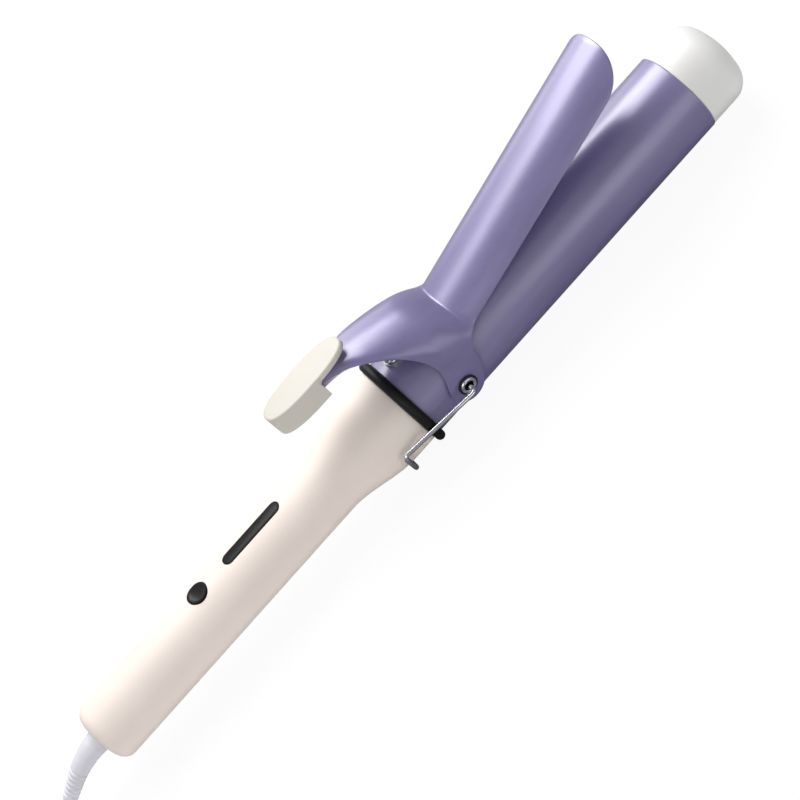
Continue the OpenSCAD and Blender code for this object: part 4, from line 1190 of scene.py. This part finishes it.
# The flat ear below the level line, in millimetres: ahead of the pivot, above it
ear_round = [(12.3, 4.2), (11.2, 2.1), (10.2, 0.2), (9.2, -1.5), (8.1, -2.9)]
for i in range(31):
    angle = math.radians(-30 - 170 * i / 30)
    ear_round.append((ear_r * math.cos(angle), ear_r * math.sin(angle)))
ear_round += [(-6.9, 3.9), (-6.2, 5.2)]
on_line = [vert for vert in sheet.verts if abs(vert.co.z - ear_line) < 1e-4 and vert.is_boundary]
on_line.sort(key=lambda vert: vert.co.x)
loop = on_line + [sheet.verts.new((ahead_mm, clip_out, up)) for ahead_mm, up in ear_round]
rim = [sheet.edges.get(pair) or sheet.edges.new(pair) for pair in zip(loop, loop[1:] + loop[:1])]
bmesh.ops.contextual_create(sheet, geom=rim)

bmesh.ops.mirror(sheet, geom=sheet.verts[:] + sheet.edges[:] + sheet.faces[:], axis="Y", merge_dist=1e-5)
bmesh.ops.remove_doubles(sheet, verts=sheet.verts, dist=1e-4)
opened = Matrix.Translation((x_pivot, 0, AXIS_Z)) @ Matrix.Rotation(-clip_open, 4, "Y")
to_rest = opened @ Matrix.Scale(MM, 4)
bmesh.ops.transform(sheet, matrix=to_rest, verts=sheet.verts)
bmesh.ops.recalc_face_normals(sheet, faces=sheet.faces)
crown_face = max(sheet.faces, key=lambda face: face.calc_center_median().z)
if crown_face.normal.z < 0:
    bmesh.ops.reverse_faces(sheet, faces=sheet.faces)
bmesh.ops.solidify(sheet, geom=sheet.faces[:], thickness=sheet_t)
rims = [edge for edge in sheet.edges if edge.calc_face_angle(0) > math.radians(75)]
round_edges(sheet, rims, sheet_edge, 2)
clip_coat = pearl_coat("baked ceramic coat on pressed steel", "#655d8a", "#7f77a5")
clip = settle(sheet, "clip_sheet_pressed", clip_coat, "clip", ["clip_sheet"], sharp=50)
cut(clip, spun(shank_hole, at_pivot, "Y", steps=32))

# The thumb rest: a satin warm white cap moulded over the end of the lever. Its top
# runs on over the lever as a lip, and all of its edges are soft.
rest_len = 41.1 * MM
rest_w = 14.2 * MM
rest_back = 20.1 * MM
rest_low = AXIS_Z + 37.15 * MM
rest_top = AXIS_Z + 48.65 * MM
rest_edge = 0.9 * MM
rest_lip = 17.2 * MM
rest_lip_t = 2.4 * MM
notch_soft = 1.2 * MM
notch_under = 1 * MM
notch_rise = 0.8 * MM
notch_len = 30 * MM
notch_half_w = 20 * MM
rest_x = x_pivot - rest_back - rest_len / 2


def blunt_oval(x, length, width, points=72, power=2.5):
    """An oval outline along X, round the point x, 0, with fuller ends than an ellipse."""
    outline = []
    for i in range(points):
        c = math.cos(2 * math.pi * i / points)
        s = math.sin(2 * math.pi * i / points)
        outline.append((x + math.copysign(abs(c) ** (2 / power), c) * length / 2,
            math.copysign(abs(s) ** (2 / power), s) * width / 2))
    return outline


rest = slab(blunt_oval(rest_x, rest_len, rest_w), rest_low, rest_top)
rest_rims = [edge for edge in rest.edges if edge.calc_face_angle(0) > math.radians(60)]
round_edges(rest, rest_rims, rest_edge, 5)
thumb_gloss = moulded("polished warm white ABS", "#c0bbb0", "#c8c3ba", 0.45, grain=0.3, strength=0.12)
thumb_rest = settle(rest, "thumb_rest_cap", thumb_gloss, "clip", ["thumb_rest"])
notch_root = x_pivot - rest_back - rest_lip
notch_outline = [
    (0, rest_low - notch_under), (notch_len, rest_low - notch_under), (notch_len, rest_top - notch_rise),
    (rest_lip, rest_top - rest_lip_t), (notch_soft, rest_top - rest_lip_t),
    (0, rest_top - rest_lip_t - notch_soft),
]
notch = slab(notch_outline, -notch_half_w, notch_half_w)
upright = Matrix.Translation((notch_root, 0, 0)) @ Matrix.Rotation(math.radians(90), 4, "X")
bmesh.ops.transform(notch, matrix=upright, verts=notch.verts)
cut(thumb_rest, notch)

# The eyelets: two hollow steel rivets, bright plated, with a rolled head. Their mouths
# and bores take a dark steel finish, as painted shade in the hollow. They hold the clip's
# ears to the barrel, and the stand turns in them.
eyelet_in = 11.7 * MM
eyelet_under = 21.2 * MM
eyelet_out = 22 * MM
eyelet_r = 3.6 * MM
eyelet_mouth_r = 2 * MM
eyelet_mouth_deep = 2.2 * MM
eyelet_bore_r = 1.1 * MM
eyelet_head_round = 0.75 * MM
eyelet_end_round = 0.2 * MM
painted_shade_margin = 0.1 * MM
painted_shade_below = 0.7 * MM

# Bright nickel-chrome plate: a clear mirror shine, only slightly hazed in clouds of 1.4 mm
bright_plate = new_finish("bright nickel-chrome plate on steel")
place = add_node(bright_plate, "ShaderNodeTexCoord")
haze = add_node(bright_plate, "ShaderNodeTexNoise",
    {"Vector": place.outputs["Object"], "Scale": 1 / (1.4 * MM), "Detail": 4})
shine = add_node(bright_plate, "ShaderNodeMapRange",
    {"Value": haze.outputs["Fac"], "To Min": 0.06, "To Max": 0.16})
plate_tone = add_node(bright_plate, "ShaderNodeMix",
    {"Factor": haze.outputs["Fac"], 6: linear("#dcdde0"), 7: linear("#ecedf0")}, data_type="RGBA")
plate_skin = add_node(bright_plate, "ShaderNodeBsdfPrincipled",
    {"Base Color": plate_tone.outputs[2], "Metallic": 1, "Roughness": shine.outputs[0]})
add_node(bright_plate, "ShaderNodeOutputMaterial", {"Surface": plate_skin.outputs[0]})


def eyelet(side):
    profile = [
        (eyelet_in, eyelet_bore_r), (eyelet_in, shank_r), (eyelet_under, shank_r), (eyelet_under, eyelet_r),
        (eyelet_out, eyelet_r), (eyelet_out, eyelet_mouth_r),
        (eyelet_out - eyelet_mouth_deep, eyelet_mouth_r), (eyelet_out - eyelet_mouth_deep, eyelet_bore_r),
    ]
    rounds = {0: eyelet_end_round, 4: eyelet_head_round, 5: eyelet_head_round}
    return spun([(side * along, radius) for along, radius in profile], at_pivot, "Y", rounds, 48)


eyelets = settle(joined(eyelet(1), eyelet(-1)), "pivot_eyelet_pair", bright_plate, "handle",
    ["pivot_eyelets"])
eyelets.data.materials.append(blackened_steel)
# Faces inside the mouth and bore take the dark steel: painted shade in the hollow rivet.
for face in eyelets.data.polygons:
    middle = face.center - Vector(at_pivot)
    in_mouth = Vector((middle.x, middle.z)).length < eyelet_mouth_r + painted_shade_margin
    if in_mouth and abs(middle.y) < eyelet_out - painted_shade_below:
        face.material_index = 1

# The washers between the eyelets' heads and the ears: black fibre discs, which
# keep the clip from rubbing and show as a dark ring round each head.
washer_under = 20.7 * MM
washer_r = 4.3 * MM
washer_hole_r = shank_r + shank_clear
washer_round = 0.15 * MM

washer_fibre = moulded("black fibre washer", "#0c0b0c", "#191718", 0.6, grain=0.2, strength=0.4)


def washer(side):
    profile = [
        (washer_under, washer_hole_r), (washer_under, washer_r), (eyelet_under, washer_r),
        (eyelet_under, washer_hole_r),
    ]
    return spun([(side * along, radius) for along, radius in profile], at_pivot, "Y",
        {1: washer_round, 2: washer_round}, 48)


settle(joined(washer(1), washer(-1)), "pivot_washer_pair", washer_fibre, "handle",
    ["pivot_washers"])

# The clip's spring: steel wire wound in eight turns, its end turns closed up. It
# stands in its seat on the barrel and pushes the lever up, which closes the blade.
spring_x = x_pivot - 11 * MM
spring_turn_r = 3.35 * MM
spring_wire_r = 0.45 * MM
spring_curls = 8
spring_low = AXIS_Z + 19.9 * MM
spring_len = 18.2 * MM
spring_steps = 28
closed_share = 0.09
closed_rise = 1.6


def spring_height(share):
    """Height of the wire's middle along the spring, flatter over the closed end turns."""
    low = spring_low + spring_wire_r
    rise = spring_len - 2 * spring_wire_r
    dead = closed_rise * spring_wire_r
    if share < closed_share:
        return low + dead * share / closed_share
    if share > 1 - closed_share:
        return low + rise - dead * (1 - share) / closed_share
    return low + dead + (rise - 2 * dead) * (share - closed_share) / (1 - 2 * closed_share)


coil = []
for i in range(spring_curls * spring_steps + 1):
    angle = 2 * math.pi * i / spring_steps
    height = spring_height(i / (spring_curls * spring_steps))
    coil.append(Vector((spring_x + spring_turn_r * math.cos(angle), spring_turn_r * math.sin(angle), height)))
coil_rings = []
for i, point in enumerate(coil):
    along = (coil[min(i + 1, len(coil) - 1)] - coil[max(i - 1, 0)]).normalized()
    coil_rings.append((point, along, spring_wire_r))
spring = settle(swept(coil_rings, 12), "clip_spring_coil", nickel_plate, None, ["clip_spring"])
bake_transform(spring)

# The spring's seat: a shallow cup of pressed steel, spot welded to the top of the
# barrel. The spring's lowest turn stands in it.
seat_r = 4.7 * MM
seat_inside_r = 3.9 * MM
seat_low = 18 * MM
seat_floor = 19.8 * MM
seat_top = 20.6 * MM
seat_round = 0.2 * MM
core_r = 19.02 * MM
core_reach = 60 * MM

seat_profile = [
    (seat_low, 0), (seat_low, seat_r), (seat_top, seat_r), (seat_top, seat_inside_r),
    (seat_floor, seat_inside_r), (seat_floor, 0),
]
seat_cup = spun(seat_profile, (spring_x, 0, AXIS_Z), "Z", {2: seat_round, 3: seat_round}, 48)
seat = settle(seat_cup, "spring_seat_cup", rolled_steel, "handle", ["spring_seat"])
barrel_core = [(-core_reach, 0), (-core_reach, core_r), (core_reach, core_r), (core_reach, 0)]
cut(seat, spun(barrel_core, at_pivot, "X", steps=128))

# The stand: one steel wire, bent and bright plated. Its ends turn in the eyelets,
# its legs run back beside the neck and its foot goes round under the handle.
wire_r = 1.1 * MM
wire_pin_r = 1.04 * MM
wire_pin_in = 17.2 * MM
wire_pin_places = (wire_pin_in, 17.4 * MM, 20 * MM, 22 * MM, 23.4 * MM)
wire_end_less = 0.2 * MM
wire_out = 25.6 * MM
wire_bend = 1.65 * MM
foot_r = 21.5 * MM
foot_x = -20.35 * MM


def arc(centre, first, second, angles):
    """Points of an arc round a centre, which starts along the first direction and turns to the second."""
    return [centre + first * math.cos(math.radians(a)) + second * math.sin(math.radians(a)) for a in angles]


def stand_leg(side):
    """Middle of the wire from its end in the eyelet to the foot."""
    out_bend = Vector((x_pivot - wire_bend, side * (wire_out - wire_bend), AXIS_Z))
    foot_bend = Vector((foot_x + wire_bend, side * foot_r, AXIS_Z - wire_bend))
    points = [Vector((x_pivot, side * y, AXIS_Z)) for y in wire_pin_places]
    points += arc(out_bend, Vector((wire_bend, 0, 0)), Vector((0, side * wire_bend, 0)), range(0, 91, 15))
    points += arc(foot_bend, Vector((0, 0, wire_bend)), Vector((-wire_bend, 0, 0)), range(0, 91, 15))
    return points


foot = [
    Vector((foot_x, foot_r * math.cos(math.radians(a)), AXIS_Z - foot_r * math.sin(math.radians(a))))
    for a in range(8, 173, 4)
]
route = stand_leg(1) + foot + stand_leg(-1)[::-1]
wire_rings = []
for i, point in enumerate(route):
    along = (route[min(i + 1, len(route) - 1)] - route[max(i - 1, 0)]).normalized()
    from_end = min(i, len(route) - 1 - i)
    radius = wire_pin_r if from_end < 4 else wire_r
    if from_end == 0:
        radius = wire_pin_r - wire_end_less
    wire_rings.append((point, along, radius))
settle(swept(wire_rings, 24), "stand_wire_bent", bright_plate, "stand", ["stand_wire"],
    sharp=50)
